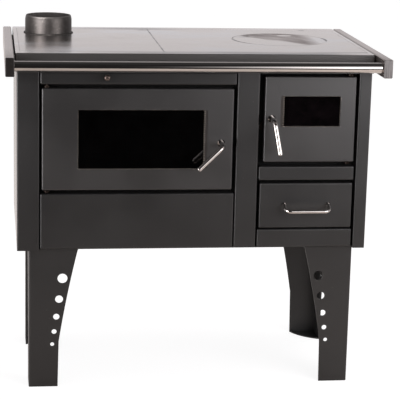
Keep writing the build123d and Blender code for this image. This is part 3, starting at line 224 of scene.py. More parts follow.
def make_lights():
    """Large soft light at the right front, a glint from the left, and a soft top light."""
    main = softbox("right_softbox", place=(0.8, -1.5, 1.2), target=(0.07, -0.19, 1.2),
                   size=(2.06, 1.4), radiance=5.6)
    dim_softbox(main, fade=0.5, bright_line=-0.26, reach=0.36)
    glint = softbox("left_softbox", place=(-1.9, -1.4, 0.95), target=(-0.3, 0.1, 0.95),
                    size=(1.3, 1.9), radiance=7.5)
    glint.visible_diffuse = False
    top = softbox("top_light", place=(0.1, 0.3, 3.0), target=(0.0, 0.0, 0.4),
                  size=(3.0, 2.4), radiance=1.2)
    top.visible_glossy = False


# -------- parts of a finish

PATTERN = {"From Min": 0.3, "From Max": 0.7}  # a noise lies mostly between these


def new_material(name):
    """A material without nodes; gives it, its tree and the place on the object."""
    material = bpy.data.materials.new(name)
    tree = empty_tree(material)
    return material, tree, add(tree, "ShaderNodeTexCoord").outputs["Object"]


def finish_material(material, sockets, uneven=None, relief=None):
    """Gives a material its shader. Uneven names a socket, the pattern it follows, and its low and
    high numbers. Relief is a pattern and its height in metres."""
    tree = material.node_tree
    shader = add(tree, "ShaderNodeBsdfPrincipled", sockets)
    if uneven:
        socket, pattern, low, high = uneven
        level = add(tree, "ShaderNodeMapRange", {
            "Value": pattern, **PATTERN, "To Min": low, "To Max": high})
        tree.links.new(level.outputs[0], shader.inputs[socket])
    if relief:
        pattern, height = relief
        bumps = add(tree, "ShaderNodeBump", {"Height": pattern, "Strength": 1.0, "Distance": height})
        tree.links.new(bumps.outputs[0], shader.inputs["Normal"])
    add(tree, "ShaderNodeOutputMaterial", {"Surface": shader})
    return material


def patch(tree, *limits):
    """Mask of a patch with soft edges. Each limit is a measure, where the patch is full by it,
    and where it has faded out."""
    sides = [add(tree, "ShaderNodeMapRange", {"Value": measure, "From Min": gone, "From Max": full})
             for measure, full, gone in limits]
    mask = sides.pop()
    while sides:
        mask = add(tree, "ShaderNodeMath", {0: sides.pop(), 1: mask}, operation="MULTIPLY")
    return mask


def drawn_noise(tree, place, cells, **sockets):
    """Noise drawn out along an axis; cells is how many there are to a metre on each axis."""
    drawn = add(tree, "ShaderNodeMapping", {"Vector": place, "Scale": cells})
    return add(tree, "ShaderNodeTexNoise", {"Vector": drawn, "Scale": 1.0, **sockets})


def stain(tree, colour, mask, strength, dirt):
    """Colour with a stain of the given strength where the mask is 1."""
    share = add(tree, "ShaderNodeMath", {0: mask, 1: strength}, operation="MULTIPLY")
    return add(tree, "ShaderNodeMix", {"Factor": share, "A": colour, "B": dirt}, data_type="RGBA")


# -------- floor

FLOOR_HALF = 9.0
FLOOR_BASE = 0.3  # the floor's own grey for the camera, which shows the shadow
FLOOR_LIFT = 0.87  # its glow, which brings it up to the white of the background
PAPER_EDGE = (-1.75, -1.35)  # the mirrored floor paper fades in here, in front of the stove
GLOW_EDGE = (0.3, -0.2)  # the mirrored floor is bright behind the first, dim before the second
MIRROR_GLOW = 0.35


def make_floor():
    """Pale paper floor, mostly lifted to the white of the background when it is seen directly.
    Mirrored, it ends in front of the stove, and is brighter behind it."""
    mesh = bpy.data.meshes.new("floor")
    corners = [(x * FLOOR_HALF, y * FLOOR_HALF, 0) for x, y in ((-1, -1), (1, -1), (1, 1), (-1, 1))]
    mesh.from_pydata(corners, [], [(0, 1, 2, 3)])
    floor = new_object("floor", mesh)
    material, tree, place = new_material("pale_floor")
    rays = add(tree, "ShaderNodeLightPath").outputs
    depth = add(tree, "ShaderNodeSeparateXYZ", {"Vector": place}).outputs["Y"]
    paper = add(tree, "ShaderNodeMapRange", {
        "Value": depth, "From Min": PAPER_EDGE[0], "From Max": PAPER_EDGE[1]},
        interpolation_type="SMOOTHSTEP")
    mirrored = add(tree, "ShaderNodeValToRGB", {"Fac": paper}, [(0.0, "#2E2C2B"), (1.0, "#F0E6DD")])
    colour = add(tree, "ShaderNodeMix", {
        "Factor": rays["Is Camera Ray"], "A": mirrored, "B": grey(FLOOR_BASE)}, data_type="RGBA")
    behind = add(tree, "ShaderNodeMath", {
        0: patch(tree, (depth, *GLOW_EDGE)), 1: rays["Is Glossy Ray"]},
        operation="MULTIPLY")
    glow = add(tree, "ShaderNodeMath", {0: behind, 1: MIRROR_GLOW}, operation="MULTIPLY")
    lift = add(tree, "ShaderNodeMath", {
        0: rays["Is Camera Ray"], 1: FLOOR_LIFT, 2: glow}, operation="MULTIPLY_ADD")
    mesh.materials.append(finish_material(material, {
        "Base Color": colour, "Roughness": 0.9, "Specular IOR Level": 0.0,
        "Emission Color": grey(1.0), "Emission Strength": lift}))


make_world()
make_lights()
make_floor()


# -------- paint

PEEL = {"Scale": 420.0, "Detail": 3.0, "Roughness": 0.6}  # orange peel of a spray gun, 2.4 mm
SIDE_ROUGHNESS = 0.12


def heat_paint(name, darker, lighter, dullness=(0.38, 0.46), sheen=0.5, glossy_sides=False):
    """Stove paint: black silicone paint sprayed on sheet steel and baked. Satin, with fine orange
    peel, dust specks about 17 mm apart and gloss in clouds of about 140 mm; the outer faces of
    the side panels are glossier."""
    material, tree, place = new_material(name)
    cloud = add(tree, "ShaderNodeTexNoise", {"Vector": place, "Scale": 7.0, "Detail": 4.0})
    peel = add(tree, "ShaderNodeTexNoise", {"Vector": place, **PEEL})
    coat = add(tree, "ShaderNodeValToRGB", {"Fac": cloud}, [(0.3, darker), (0.7, lighter)])
    specks = add(tree, "ShaderNodeTexVoronoi", {"Vector": place, "Scale": 60.0})
    dust = add(tree, "ShaderNodeValToRGB", {"Fac": specks}, [(0.03, grey(0.35)), (0.07, grey(0.0))])
    colour = add(tree, "ShaderNodeMix", {"Factor": dust, "A": coat, "B": "#6A6866"}, data_type="RGBA")
    roughness = add(tree, "ShaderNodeMapRange", {
        "Value": cloud, **PATTERN, "To Min": dullness[0], "To Max": dullness[1]})
    if glossy_sides:
        across = add(tree, "ShaderNodeSeparateXYZ", {"Vector": place}).outputs["X"]
        outward = add(tree, "ShaderNodeMath", {0: across}, operation="ABSOLUTE")
        side = patch(tree, (outward, side_face - 0.1 * MM, side_face - 0.6 * MM))
        roughness = add(tree, "ShaderNodeMix", {"Factor": side, "A": roughness, "B": SIDE_ROUGHNESS})
    return finish_material(material, {
        "Base Color": colour, "Roughness": roughness, "IOR": 1.6, "Specular IOR Level": sheen},
        relief=(peel, 0.05 * MM))


def flue_paint():
    """Collar: pipe steel under a thin, worn coat of flue blacking; dark grey with a metal sheen, rubbed
    to bare steel in patches of 5 to 10 mm. A pale band below its rim at the front left is a painted
    highlight, and painted shade darkens its right and left sides; it is dull with soot inside."""
    material, tree, place = new_material("flue_paint")
    wear = add(tree, "ShaderNodeTexNoise", {
        "Vector": place, "Scale": 85.0, "Detail": 6.0, "Roughness": 0.7, "Distortion": 0.8})
    coat = add(tree, "ShaderNodeValToRGB", {"Fac": wear}, [
        (0.3, "#625E5B"), (0.62, "#797572"), (0.68, "#B4ADA5")])
    offset = add(tree, "ShaderNodeVectorMath", {0: place, 1: (*COLLAR_CENTRE, 0.0)}, operation="SUBTRACT")
    level = add(tree, "ShaderNodeVectorMath", {0: offset, 1: (1.0, 1.0, 0.0)}, operation="MULTIPLY")
    reach = add(tree, "ShaderNodeVectorMath", {0: level}, operation="LENGTH")
    inside = patch(tree, (reach, COLLAR_BORE, COLLAR_BORE + 0.8 * MM))
    height = add(tree, "ShaderNodeSeparateXYZ", {"Vector": place}).outputs["Z"]
    aim = add(tree, "ShaderNodeVectorMath", {0: level}, operation="NORMALIZE")
    front_left = add(tree, "ShaderNodeVectorMath", {0: aim, 1: (-0.42, -0.91, 0.0)},
                     operation="DOT_PRODUCT")
    painted_highlight = patch(tree, (height, collar_top - 1.5 * MM, collar_top - 4.5 * MM), (front_left, 0.95, 0.8))
    right = add(tree, "ShaderNodeSeparateXYZ", {"Vector": aim}).outputs["X"]
    # Painted highlight: a pale band just below the rim at the front left.
    colour = stain(tree, coat, painted_highlight, 0.5, "#E2DDD6")
    # Painted shade: the right and left sides of the collar are darkened.
    for full, gone, strength in ((0.7, 0.15, 0.75), (-0.8, -0.45, 0.6)):
        colour = stain(tree, colour, patch(tree, (right, full, gone)), strength, "#242120")
    colour = stain(tree, colour, inside, 1.0, "#686461")
    metal = add(tree, "ShaderNodeMapRange", {"Value": inside, "To Min": 0.9, "To Max": 0.2})
    dullness = add(tree, "ShaderNodeMapRange", {"Value": inside, "To Min": 0.41, "To Max": 0.6})
    roughness = add(tree, "ShaderNodeMath", {0: wear, 1: 0.12, 2: dullness}, operation="MULTIPLY_ADD")
    return finish_material(material, {
        "Base Color": colour, "Metallic": metal, "Roughness": roughness}, relief=(wear, 0.04 * MM))


# -------- cooktop

OIL_AND_GAP_SHADE = "#1E1A18"
DIRT = "#2A2523"
SCORCH = "#2A2423"
SOOT_AND_SHADE = "#2E2A28"
WIPED = "#8F8681"

# Ragged marks: the middle, and half the size across and in depth.
# Soot and painted shade darken the plate in front of the collar, where the collar's reflection falls.
COLLAR_SOOT_AND_SHADE = ((-0.336, 0.100), (0.068, 0.130))
SEAM_DIRT = ((-0.088, 0.236), (0.022, 0.010))
PLATE_SPOT = ((0.334, 0.252), (0.010, 0.014))
DISC_CLEAN_SPOT = ((0.268, 0.140), (0.024, 0.014))
DISC_TRAIL = ((0.165, 0.108), (0.034, 0.014))

# Limits of soft marks in metres: where a mark is full, and where it has faded out.
REAR_DARK_LEFT = (-0.13, -0.3)
REAR_DIRT_RIGHT = (plate_seam, 0.06)
FRAME_REAR_DARK_RIGHT = (plate_seam, 0.02)
FRONT_OIL_LEFT = (0.45, -0.6)
FRAME_OIL_LEFT = (0.1, -0.2)
FRAME_OIL_RIGHT = (0.3, 0.4)
WIPED_DEPTH = (plate_front, 0.2)
BAR_GREASE_DEPTH = (-0.29, -0.12)
SCORCH_EDGE = (0.030, 0.004)  # from the disc's middle, in the scorch's direction
SCORCH_RIGHT = (0.056, 0.094)  # from the disc's middle

SCORCH_TURN = 0.69  # the scorch's direction from the disc's middle, in radians
GAP_ARC_AIM = (-0.94, -0.34, 0.0)  # directions from the disc's middle to the painted shade in its gap
GAP_HOOK_AIM = (1.0, 0.06, 0.0)


def steel_clouds(tree, place):
    """Pattern and colour of ground steel: warm and cool clouds of about 200 by 110 mm, left by
    oil and wiping."""
    clouds = drawn_noise(tree, place, (5.0, 9.0, 1.0), Detail=5.0, Roughness=0.55, Distortion=0.6)
    colour = add(tree, "ShaderNodeValToRGB", {"Fac": clouds}, [
        (0.3, "#B0A8A2"), (0.5, "#C5BFBB"), (0.7, "#D2D2D4")])
    return clouds, colour


def from_disc(tree, place):
    """The way from the disc's middle to a place on it, and its length."""
    offset = add(tree, "ShaderNodeVectorMath", {
        0: place, 1: (*DISC_CENTRE, hob_top)}, operation="SUBTRACT")
    return offset, add(tree, "ShaderNodeVectorMath", {0: offset}, operation="LENGTH")


def blot(tree, place, mark, ragged, soft=0.35):
    """Mask, 1 inside a ragged oval mark on the cooktop."""
    centre, size = mark
    offset = add(tree, "ShaderNodeVectorMath", {0: place, 1: (*centre, hob_top)}, operation="SUBTRACT")
    flat = add(tree, "ShaderNodeMapping", {"Vector": offset, "Scale": (1 / size[0], 1 / size[1], 1.0)})
    edge = add(tree, "ShaderNodeTexNoise", {
        "Vector": flat, "Scale": 1.7, "Detail": 5.0, "Roughness": 0.6})
    pushed = add(tree, "ShaderNodeVectorMath", {
        0: edge.outputs["Color"], 1: (ragged, ragged, 0.0), 2: flat}, operation="MULTIPLY_ADD")
    centred = add(tree, "ShaderNodeVectorMath", {
        0: pushed, 1: (ragged / 2, ragged / 2, 0.0)}, operation="SUBTRACT")
    reach = add(tree, "ShaderNodeVectorMath", {0: centred}, operation="LENGTH")
    return add(tree, "ShaderNodeMapRange", {
        "Value": reach, "From Min": 1.0, "From Max": 1.0 - soft}, interpolation_type="SMOOTHSTEP")


def disc_gap_shade(tree, place):
    """Mask for painted shade along the gap round the lift-off disc: an arc at its left front, and a short
    hook at its right."""
    offset, reach = from_disc(tree, place)
    gap = add(tree, "ShaderNodeMath", {0: reach, 1: DISC_RADIUS}, operation="SUBTRACT")
    away = add(tree, "ShaderNodeMath", {0: gap}, operation="ABSOLUTE")
    aim = add(tree, "ShaderNodeVectorMath", {0: offset}, operation="NORMALIZE")
    arc = add(tree, "ShaderNodeVectorMath", {0: aim, 1: GAP_ARC_AIM}, operation="DOT_PRODUCT")
    hook = add(tree, "ShaderNodeVectorMath", {0: aim, 1: GAP_HOOK_AIM}, operation="DOT_PRODUCT")
    both = add(tree, "ShaderNodeMath", {
        0: patch(tree, (arc, 0.97, 0.86)), 1: patch(tree, (hook, 0.995, 0.97))}, operation="MAXIMUM")
    line = patch(tree, (away, 2.4 * MM, 5.2 * MM))
    return add(tree, "ShaderNodeMath", {0: line, 1: both}, operation="MULTIPLY")


def scorch(tree, place):
    """Mask for the disc's heat stain: the part of the disc at its right rear, streaked along its
    ragged edge, darkest at the rim, with a clean spot in it."""
    offset, reach = from_disc(tree, place)
    turned = add(tree, "ShaderNodeMapping", {
        "Vector": offset, "Rotation": (0.0, 0.0, SCORCH_TURN)}, vector_type="TEXTURE")
    across = add(tree, "ShaderNodeSeparateXYZ", {"Vector": turned}).outputs["X"]
    right = add(tree, "ShaderNodeSeparateXYZ", {"Vector": offset}).outputs["X"]
    streaks = drawn_noise(tree, turned, (42.0, 9.0, 1.0), Detail=5.0, Roughness=0.6)
    pushed = add(tree, "ShaderNodeMath", {0: streaks, 1: 0.07, 2: across}, operation="MULTIPLY_ADD")
    burnt = patch(tree, (pushed, *SCORCH_EDGE), (reach, DISC_RADIUS - 2 * MM, DISC_RADIUS),
                  (right, *SCORCH_RIGHT))
    strong = add(tree, "ShaderNodeMapRange", {
        "Value": reach, "From Min": 0.035, "From Max": 0.09, "To Min": 0.75, "To Max": 1.0})
    tone = add(tree, "ShaderNodeMapRange", {
        "Value": streaks, "From Min": 0.36, "From Max": 0.56, "To Min": 0.55})
    depth = add(tree, "ShaderNodeMath", {0: strong, 1: tone}, operation="MULTIPLY")
    dirty = add(tree, "ShaderNodeMath", {
        0: 1.0, 1: blot(tree, place, DISC_CLEAN_SPOT, 0.5)}, operation="SUBTRACT")
    mask = add(tree, "ShaderNodeMath", {0: burnt, 1: depth}, operation="MULTIPLY")
    return add(tree, "ShaderNodeMath", {0: mask, 1: dirty}, operation="MULTIPLY")


def ground_steel(name, scorched=False):
    """Cooktop plates: mild steel ground flat and oiled. Pale grey metal with cloudy oil marks and dirt in
    its seams, painted shade along the gap round the lift-off disc, and soot and painted shade in front of
    the collar, where its reflection falls; the lift-off disc also has a dark, ragged heat stain."""
    material, tree, place = new_material(name)
    clouds, colour = steel_clouds(tree, place)
    parts = add(tree, "ShaderNodeSeparateXYZ", {"Vector": place}).outputs
    across, depth = parts["X"], parts["Y"]
    rear = patch(tree, (depth, plate_rear, plate_rear - 22 * MM),
                 (across, *REAR_DIRT_RIGHT), (across, *REAR_DARK_LEFT))
    front = patch(tree, (depth, plate_front + 4 * MM, plate_front + 24 * MM),
                  (across, *FRONT_OIL_LEFT))
    uneven = add(tree, "ShaderNodeTexNoise", {"Vector": place, "Scale": 9.0, "Detail": 3.0})
    front = add(tree, "ShaderNodeMath", {0: front, 1: uneven}, operation="MULTIPLY")
    off_seam = add(tree, "ShaderNodeMath", {0: across, 1: plate_seam}, operation="SUBTRACT")
    off_seam = add(tree, "ShaderNodeMath", {0: off_seam}, operation="ABSOLUTE")
    broken = add(tree, "ShaderNodeTexNoise", {"Vector": place, "Scale": 40.0, "Detail": 2.0})
    seam = patch(tree, (off_seam, 1.2 * MM, 2.8 * MM), (broken, 0.5, 0.42))
    for mask, strength, dirt in (
            (rear, 0.8, DIRT), (patch(tree, (depth, *WIPED_DEPTH)), 0.3, WIPED),
            # The line along the disc's gap is painted shade.
            (front, 1.6, OIL_AND_GAP_SHADE), (disc_gap_shade(tree, place), 0.9, OIL_AND_GAP_SHADE), (seam, 0.95, OIL_AND_GAP_SHADE),
            # The blot in front of the collar is soot and painted shade, where the collar's reflection
            # falls.
            (blot(tree, place, COLLAR_SOOT_AND_SHADE, 0.15, 0.9), 0.55, SOOT_AND_SHADE),
            (blot(tree, place, SEAM_DIRT, 0.8), 0.6, DIRT)):
        colour = stain(tree, colour, mask, strength, dirt)
    sockets = {"Metallic": 1.0}
    if scorched:
        mask = scorch(tree, place)
        colour = stain(tree, colour, mask, 0.95, SCORCH)
        colour = stain(tree, colour, blot(tree, place, DISC_TRAIL, 0.6), 0.35, SCORCH)
        sockets["Specular Tint"] = stain(tree, grey(1.0), mask, 1.0, "#D3CBC8")
    else:
        colour = stain(tree, colour, blot(tree, place, PLATE_SPOT, 0.6), 0.7, DIRT)
    sockets["Base Color"] = colour
    return finish_material(material, sockets, uneven=("Roughness", clouds, 0.19, 0.26))


def painted_frame():
    """Cooktop frame: heat paint on its sides, its top ground bright with the plates, darker in a strip
    behind the plates, with oil along the front of the disc's plate."""
    material, tree, place = new_material("frame_paint_with_ground_top")
    peel = add(tree, "ShaderNodeTexNoise", {"Vector": place, **PEEL})
    parts = add(tree, "ShaderNodeSeparateXYZ", {"Vector": place}).outputs
    across, depth = parts["X"], parts["Y"]
    top = patch(tree, (parts["Z"], hob_top - 0.7 * MM, hob_top - 1.3 * MM))
    steel = steel_clouds(tree, place)[1]
    rear = patch(tree, (depth, plate_rear + 10 * MM, plate_rear + 26 * MM),
                 (across, *FRAME_REAR_DARK_RIGHT), (across, *REAR_DARK_LEFT))
    front = patch(tree, (depth, plate_front, plate_front + 2 * MM),
                  (across, *FRAME_OIL_LEFT), (across, *FRAME_OIL_RIGHT))
    # A darker strip behind the plates.
    steel = stain(tree, steel, rear, 0.8, DIRT)
    steel = stain(tree, steel, patch(tree, (depth, *WIPED_DEPTH)), 0.4, WIPED)
    steel = stain(tree, steel, front, 0.95, OIL_AND_GAP_SHADE)
    colour = add(tree, "ShaderNodeMix", {"Factor": top, "A": "#302E2D", "B": steel}, data_type="RGBA")
    roughness = add(tree, "ShaderNodeMix", {"Factor": top, "A": 0.5, "B": 0.2})
    return finish_material(material, {
        "Base Color": colour, "Metallic": top, "Roughness": roughness, "IOR": 1.6,
        "Specular IOR Level": 0.75}, relief=(peel, 0.04 * MM))


# -------- bars, rail, grips and caps

def brushed_steel():
    """Side bars: square tube in stainless steel, belt-brushed along its length in lines of
    1.1 mm, coarser than real; brown grease on the edge next to the cooktop and at the front."""
    material, tree, place = new_material("brushed_bar_steel")
    lines = drawn_noise(tree, place, (900.0, 9.0, 900.0), Detail=3.0)
    steel = add(tree, "ShaderNodeValToRGB", {"Fac": lines}, [(0.3, "#B3ACA8"), (0.7, "#D2CAC6")])
    parts = add(tree, "ShaderNodeSeparateXYZ", {"Vector": place}).outputs
    outward = add(tree, "ShaderNodeMath", {0: parts["X"]}, operation="ABSOLUTE")
    edge = patch(tree, (outward, bar_inner + 1 * MM, bar_inner + 4 * MM),
                 (parts["Z"], hob_top - 1 * MM, hob_top - 3 * MM))
    colour = stain(tree, steel, edge, 0.4, "#33271F")
    colour = stain(tree, colour, patch(tree, (parts["Y"], *BAR_GREASE_DEPTH)), 0.5, "#5A4A42")
    return finish_material(material, {"Base Color": colour, "Metallic": 1.0},
                           uneven=("Roughness", lines, 0.26, 0.4), relief=(lines, 0.01 * MM))


def polished_steel(name, cells=(14.0, 700.0, 700.0), lean_axis=None):
    """Rail and grips: stainless rod and tube, polished; faint drawing lines of 1.4 mm, coarser than
    real, break the reflections. The real grips lean out from the doors, so a lean axis turns
    their normals that much."""
    material, tree, place = new_material(name)
    lines = drawn_noise(tree, place, cells, Detail=4.0)
    colour = add(tree, "ShaderNodeValToRGB", {"Fac": lines}, [(0.3, "#C3BEBA"), (0.7, "#CFCBC7")])
    sockets = {"Base Color": colour, "Metallic": 1.0}
    if lean_axis:
        own = add(tree, "ShaderNodeTexCoord").outputs["Normal"]
        depth = add(tree, "ShaderNodeSeparateXYZ", {"Vector": place}).outputs["Y"]
        angle = add(tree, "ShaderNodeMath", {
            0: patch(tree, (depth, GRIP_BACK, GRIP_BACK + 5 * MM)), 1: GRIP_LEAN}, operation="MULTIPLY")
        leaned = add(tree, "ShaderNodeVectorRotate", {
            "Vector": own, "Axis": lean_axis, "Angle": angle}, rotation_type="AXIS_ANGLE")
        sockets["Normal"] = add(tree, "ShaderNodeVectorTransform", {"Vector": leaned},
                                vector_type="NORMAL", convert_from="OBJECT", convert_to="WORLD")
    return finish_material(material, sockets, uneven=("Roughness", lines, 0.07, 0.13))


def cap_plastic():
    """End caps: black nylon with a moulded grain of 0.8 mm, coarser than real; the right ones are painted
    lighter grey in upright streaks 2.4 mm wide, a painted reflection of the light at the right."""
    material, tree, place = new_material("cap_plastic")
    grain = add(tree, "ShaderNodeTexNoise", {"Vector": place, "Scale": 1250.0, "Detail": 2.0})
    upright_streaks = drawn_noise(tree, place, (420.0, 420.0, 16.0), Detail=3.0)
    across = add(tree, "ShaderNodeSeparateXYZ", {"Vector": place}).outputs["X"]
    plain = add(tree, "ShaderNodeValToRGB", {"Fac": grain}, [(0.3, "#242120"), (0.7, "#363230")])
    painted_highlight = add(tree, "ShaderNodeValToRGB", {"Fac": upright_streaks}, [(0.35, "#4E4B4A"), (0.65, "#7E7A78")])
    # The right caps are painted lighter grey: a painted reflection of the light at the right.
    colour = add(tree, "ShaderNodeMix", {
        "Factor": patch(tree, (across, 10 * MM, 0.0)), "A": plain, "B": painted_highlight}, data_type="RGBA")
    return finish_material(material, {"Base Color": colour, "IOR": 1.53},
                           uneven=("Roughness", grain, 0.24, 0.34), relief=(grain, 0.03 * MM))


# -------- other metals

def zinc_steel():
    """Screws and bolts: zinc-plated steel; grey with faint yellow and blue spangle of 2 mm."""
    material, tree, place = new_material("zinc_steel")
    spangle = add(tree, "ShaderNodeTexVoronoi", {"Vector": place, "Scale": 500.0}).outputs
    colour = add(tree, "ShaderNodeValToRGB", {"Fac": spangle["Color"]}, [
        (0.2, "#A7A596"), (0.8, "#A9ADB2")])
    return finish_material(material, {"Base Color": colour, "Metallic": 1.0},
                           uneven=("Roughness", spangle["Distance"], 0.3, 0.45))


def mill_steel():
    """Inner sheet steel: hot-rolled, with blue-grey mill scale in patches of 45 mm and rust bloom at
    its pits."""
    material, tree, place = new_material("mill_steel")
    scale = add(tree, "ShaderNodeTexNoise", {
        "Vector": place, "Scale": 22.0, "Detail": 8.0, "Roughness": 0.65})
    colour = add(tree, "ShaderNodeValToRGB", {"Fac": scale}, [
        (0.3, "#3A3B3E"), (0.55, "#54555A"), (0.78, "#5C4F47")])
    return finish_material(material, {"Base Color": colour, "Metallic": 0.8},
                           uneven=("Roughness", scale, 0.4, 0.6), relief=(scale, 0.1 * MM))


def brass():
    """Damper bush: pressed sintered bronze; dull yellow with open pores of 0.5 mm, coarser than
    real."""
    material, tree, place = new_material("sintered_brass")
    pores = add(tree, "ShaderNodeTexVoronoi", {"Vector": place, "Scale": 2000.0})
    colour = add(tree, "ShaderNodeValToRGB", {"Fac": pores}, [(0.1, "#6B552C"), (0.4, "#AD8C4E")])
    return finish_material(material, {"Base Color": colour, "Metallic": 1.0},
                           uneven=("Roughness", pores, 0.6, 0.4))


def browned_steel(name, darker, lighter):
    """Knob, hinge lugs and pins, latch tongues: steel browned in oil, worn brighter by hands in
    spots of 5 mm."""
    material, tree, place = new_material(name)
    wear = add(tree, "ShaderNodeTexNoise", {"Vector": place, "Scale": 180.0, "Detail": 5.0})
    colour = add(tree, "ShaderNodeValToRGB", {"Fac": wear}, [(0.35, darker), (0.7, lighter)])
    return finish_material(material, {"Base Color": colour, "Metallic": 1.0},
                           uneven=("Roughness", wear, 0.3, 0.45))


def cast_iron():
    """Grate: grey iron cast in sand; dark, rough, with a grain of about 1.5 mm."""
    material, tree, place = new_material("cast_iron")
    sand = add(tree, "ShaderNodeTexNoise", {
        "Vector": place, "Scale": 650.0, "Detail": 4.0, "Roughness": 0.7})
    colour = add(tree, "ShaderNodeValToRGB", {"Fac": sand}, [(0.3, "#242322"), (0.7, "#3A3836")])
    return finish_material(material, {"Base Color": colour, "Metallic": 0.6},
                           uneven=("Roughness", sand, 0.55, 0.8), relief=(sand, 0.3 * MM))


# -------- glass, seals and bricks

def ceramic_glass(name, tint, soot):
    """Window pane: clear ceramic glass that looks black over a dark chamber, with a film of soot
    in patches of 40 mm."""
    material, tree, place = new_material(name)
    film = add(tree, "ShaderNodeTexNoise", {
        "Vector": place, "Scale": 26.0, "Detail": 6.0, "Roughness": 0.6})
    return finish_material(material, {"Base Color": tint, "IOR": 1.54, "Roughness": 0.03},
                           uneven=("Transmission Weight", film, 1.0, 1.0 - soot))


def rope_fibre():
    """Door seal: braided glass-fibre rope; grey, dull, with a pale bloom on its fibres, which are
    drawn 1.1 mm thick, coarser than real."""
    material, tree, place = new_material("seal_rope")
    fibre = add(tree, "ShaderNodeTexNoise", {"Vector": place, "Scale": 900.0, "Detail": 3.0})
    colour = add(tree, "ShaderNodeValToRGB", {"Fac": fibre}, [(0.3, "#3A3735"), (0.7, "#75706A")])
    return finish_material(material, {"Base Color": colour, "Roughness": 0.85, "Sheen Weight": 0.3},
                           relief=(fibre, 0.15 * MM))


def tape_fibre(name, darker, lighter):
    """Window gasket: woven glass-fibre tape, dark grey-brown, its fibres drawn 1.4 mm thick,
    coarser than real; the yarn of its edge is paler."""
    material, tree, place = new_material(name)
    fibre = add(tree, "ShaderNodeTexNoise", {"Vector": place, "Scale": 700.0, "Detail": 3.0})
    colour = add(tree, "ShaderNodeValToRGB", {"Fac": fibre}, [(0.35, darker), (0.65, lighter)])
    return finish_material(material, {"Base Color": colour, "Roughness": 0.8, "Sheen Weight": 0.2},
                           relief=(fibre, 0.1 * MM))


def fireclay():
    """Firebricks: pressed chamotte; buff, with sand grains of 2.5 mm and dark iron specks of 2 to
    4 mm."""
    material, tree, place = new_material("fireclay")
    sand = add(tree, "ShaderNodeTexNoise", {
        "Vector": place, "Scale": 400.0, "Detail": 5.0, "Roughness": 0.7})
    specks = add(tree, "ShaderNodeTexVoronoi", {"Vector": place, "Scale": 120.0})
    body = add(tree, "ShaderNodeValToRGB", {"Fac": sand}, [(0.3, "#9C8465"), (0.7, "#C4AC8A")])
    iron = add(tree, "ShaderNodeValToRGB", {"Fac": specks}, [(0.1, grey(0.8)), (0.2, grey(0.0))])
    colour = add(tree, "ShaderNodeMix", {"Factor": iron, "A": body, "B": "#5A4230"}, data_type="RGBA")
    return finish_material(material, {"Base Color": colour, "Roughness": 0.92},
                           relief=(sand, 0.3 * MM))


# -------- finishes of the CAD nodes

finishes = {
    "black_heat_paint": heat_paint("black_heat_paint", "#1B1B1B", "#202020"),
    "paint_with_ground_top": painted_frame(),
    "flue_paint": flue_paint(),
    "ground_hob_steel": ground_steel("ground_hob_steel"),
    "brushed_bar_steel": brushed_steel(),
    "polished_steel": polished_steel("polished_steel"),
    "cap_plastic": cap_plastic(),
    "zinc_steel": zinc_steel(),
    "mill_steel": mill_steel(),
    "sintered_brass": brass(),
    "ceramic_glass": ceramic_glass("ceramic_glass", "#202020", soot=0.1),
    "seal_rope": rope_fibre(),
    "seal_tape": tape_fibre("seal_tape", "#221E1C", "#4E4843"),
    "cast_iron": cast_iron(),
    "fireclay": fireclay(),
}
loop_yarn = tape_fibre("seal_tape_loops", "#7E766E", "#C4BAAE")
side_paint = heat_paint("side_heat_paint", "#1B1B1B", "#202020", glossy_sides=True)
# The doors' paint is a lighter, glossier copy of the body's paint: painted light, for the extra light
# that falls on the doors.
lit_door_paint = heat_paint("lit_door_heat_paint", "#1E1D1D", "#242323", sheen=0.75)
browned = browned_steel("browned_steel", "#1C1816", "#3A322D")
special_finishes = {
    "left_side_panel": side_paint,
    "right_side_panel": side_paint,
    "oven_door_panel": lit_door_paint,
    "firebox_door_panel": lit_door_paint,
    # The inner front plate is painted near black and dull: painted shade for the gaps round the doors,
    # where it shows.
    "inner_front_plate": heat_paint(
        "shade_black_heat_paint", "#0A0A0A", "#0E0E0E", dullness=(0.6, 0.75), sheen=0.15),
    "oven_handle": polished_steel(
        "polished_grip_of_oven", cells=(500.0, 700.0, 14.0), lean_axis=(-0.68, 0.0, 0.73)),
    "firebox_handle": polished_steel(
        "polished_grip_of_firebox", cells=(700.0, 700.0, 14.0), lean_axis=(-0.99, 0.0, -0.1)),
    "damper_knob": browned_steel("browned_steel_of_knob", "#5A4F4A", "#8E8079"),
    "hinge_lugs": browned,
    "oven_door_pins": browned,
    "firebox_door_pins": browned,
    "oven_latch_tongue": browned,
    "firebox_latch_tongue": browned,
    "hob_disc": ground_steel("ground_hob_steel_of_disc", scorched=True),
    "firebox_door_glass": ceramic_glass("ceramic_glass_over_fire", "#0F0B0D", soot=0.85),
}
for row in frame["record"]["subparts"]:
    mesh = nodes[row["node"]].data
    mesh.materials.clear()
    mesh.materials.append(special_finishes.get(row["node"], finishes[row["material_slot"]]))


# -------- Geometry Nodes trees

CORNER_POINTS = 8
STRAND_SIDES = 5
CORE_SIDES = 10
CORE_SHARE = 0.92  # of the section that the strands wind round
STRAND_LIFT = 0.1  # share by which a strand rises where it crosses over
LOOP_POINTS = 7
LOOP_SHARE = 0.36  # loop radius in pitches
LOOP_LENGTHS = (-1.9, -0.2)  # negative, so that a loop points into the window
CIRCLE_POINTS = 128
DROP_SIZES = ((0.9, 0.85, 1.1), (1.15, 1.15, 1.5))


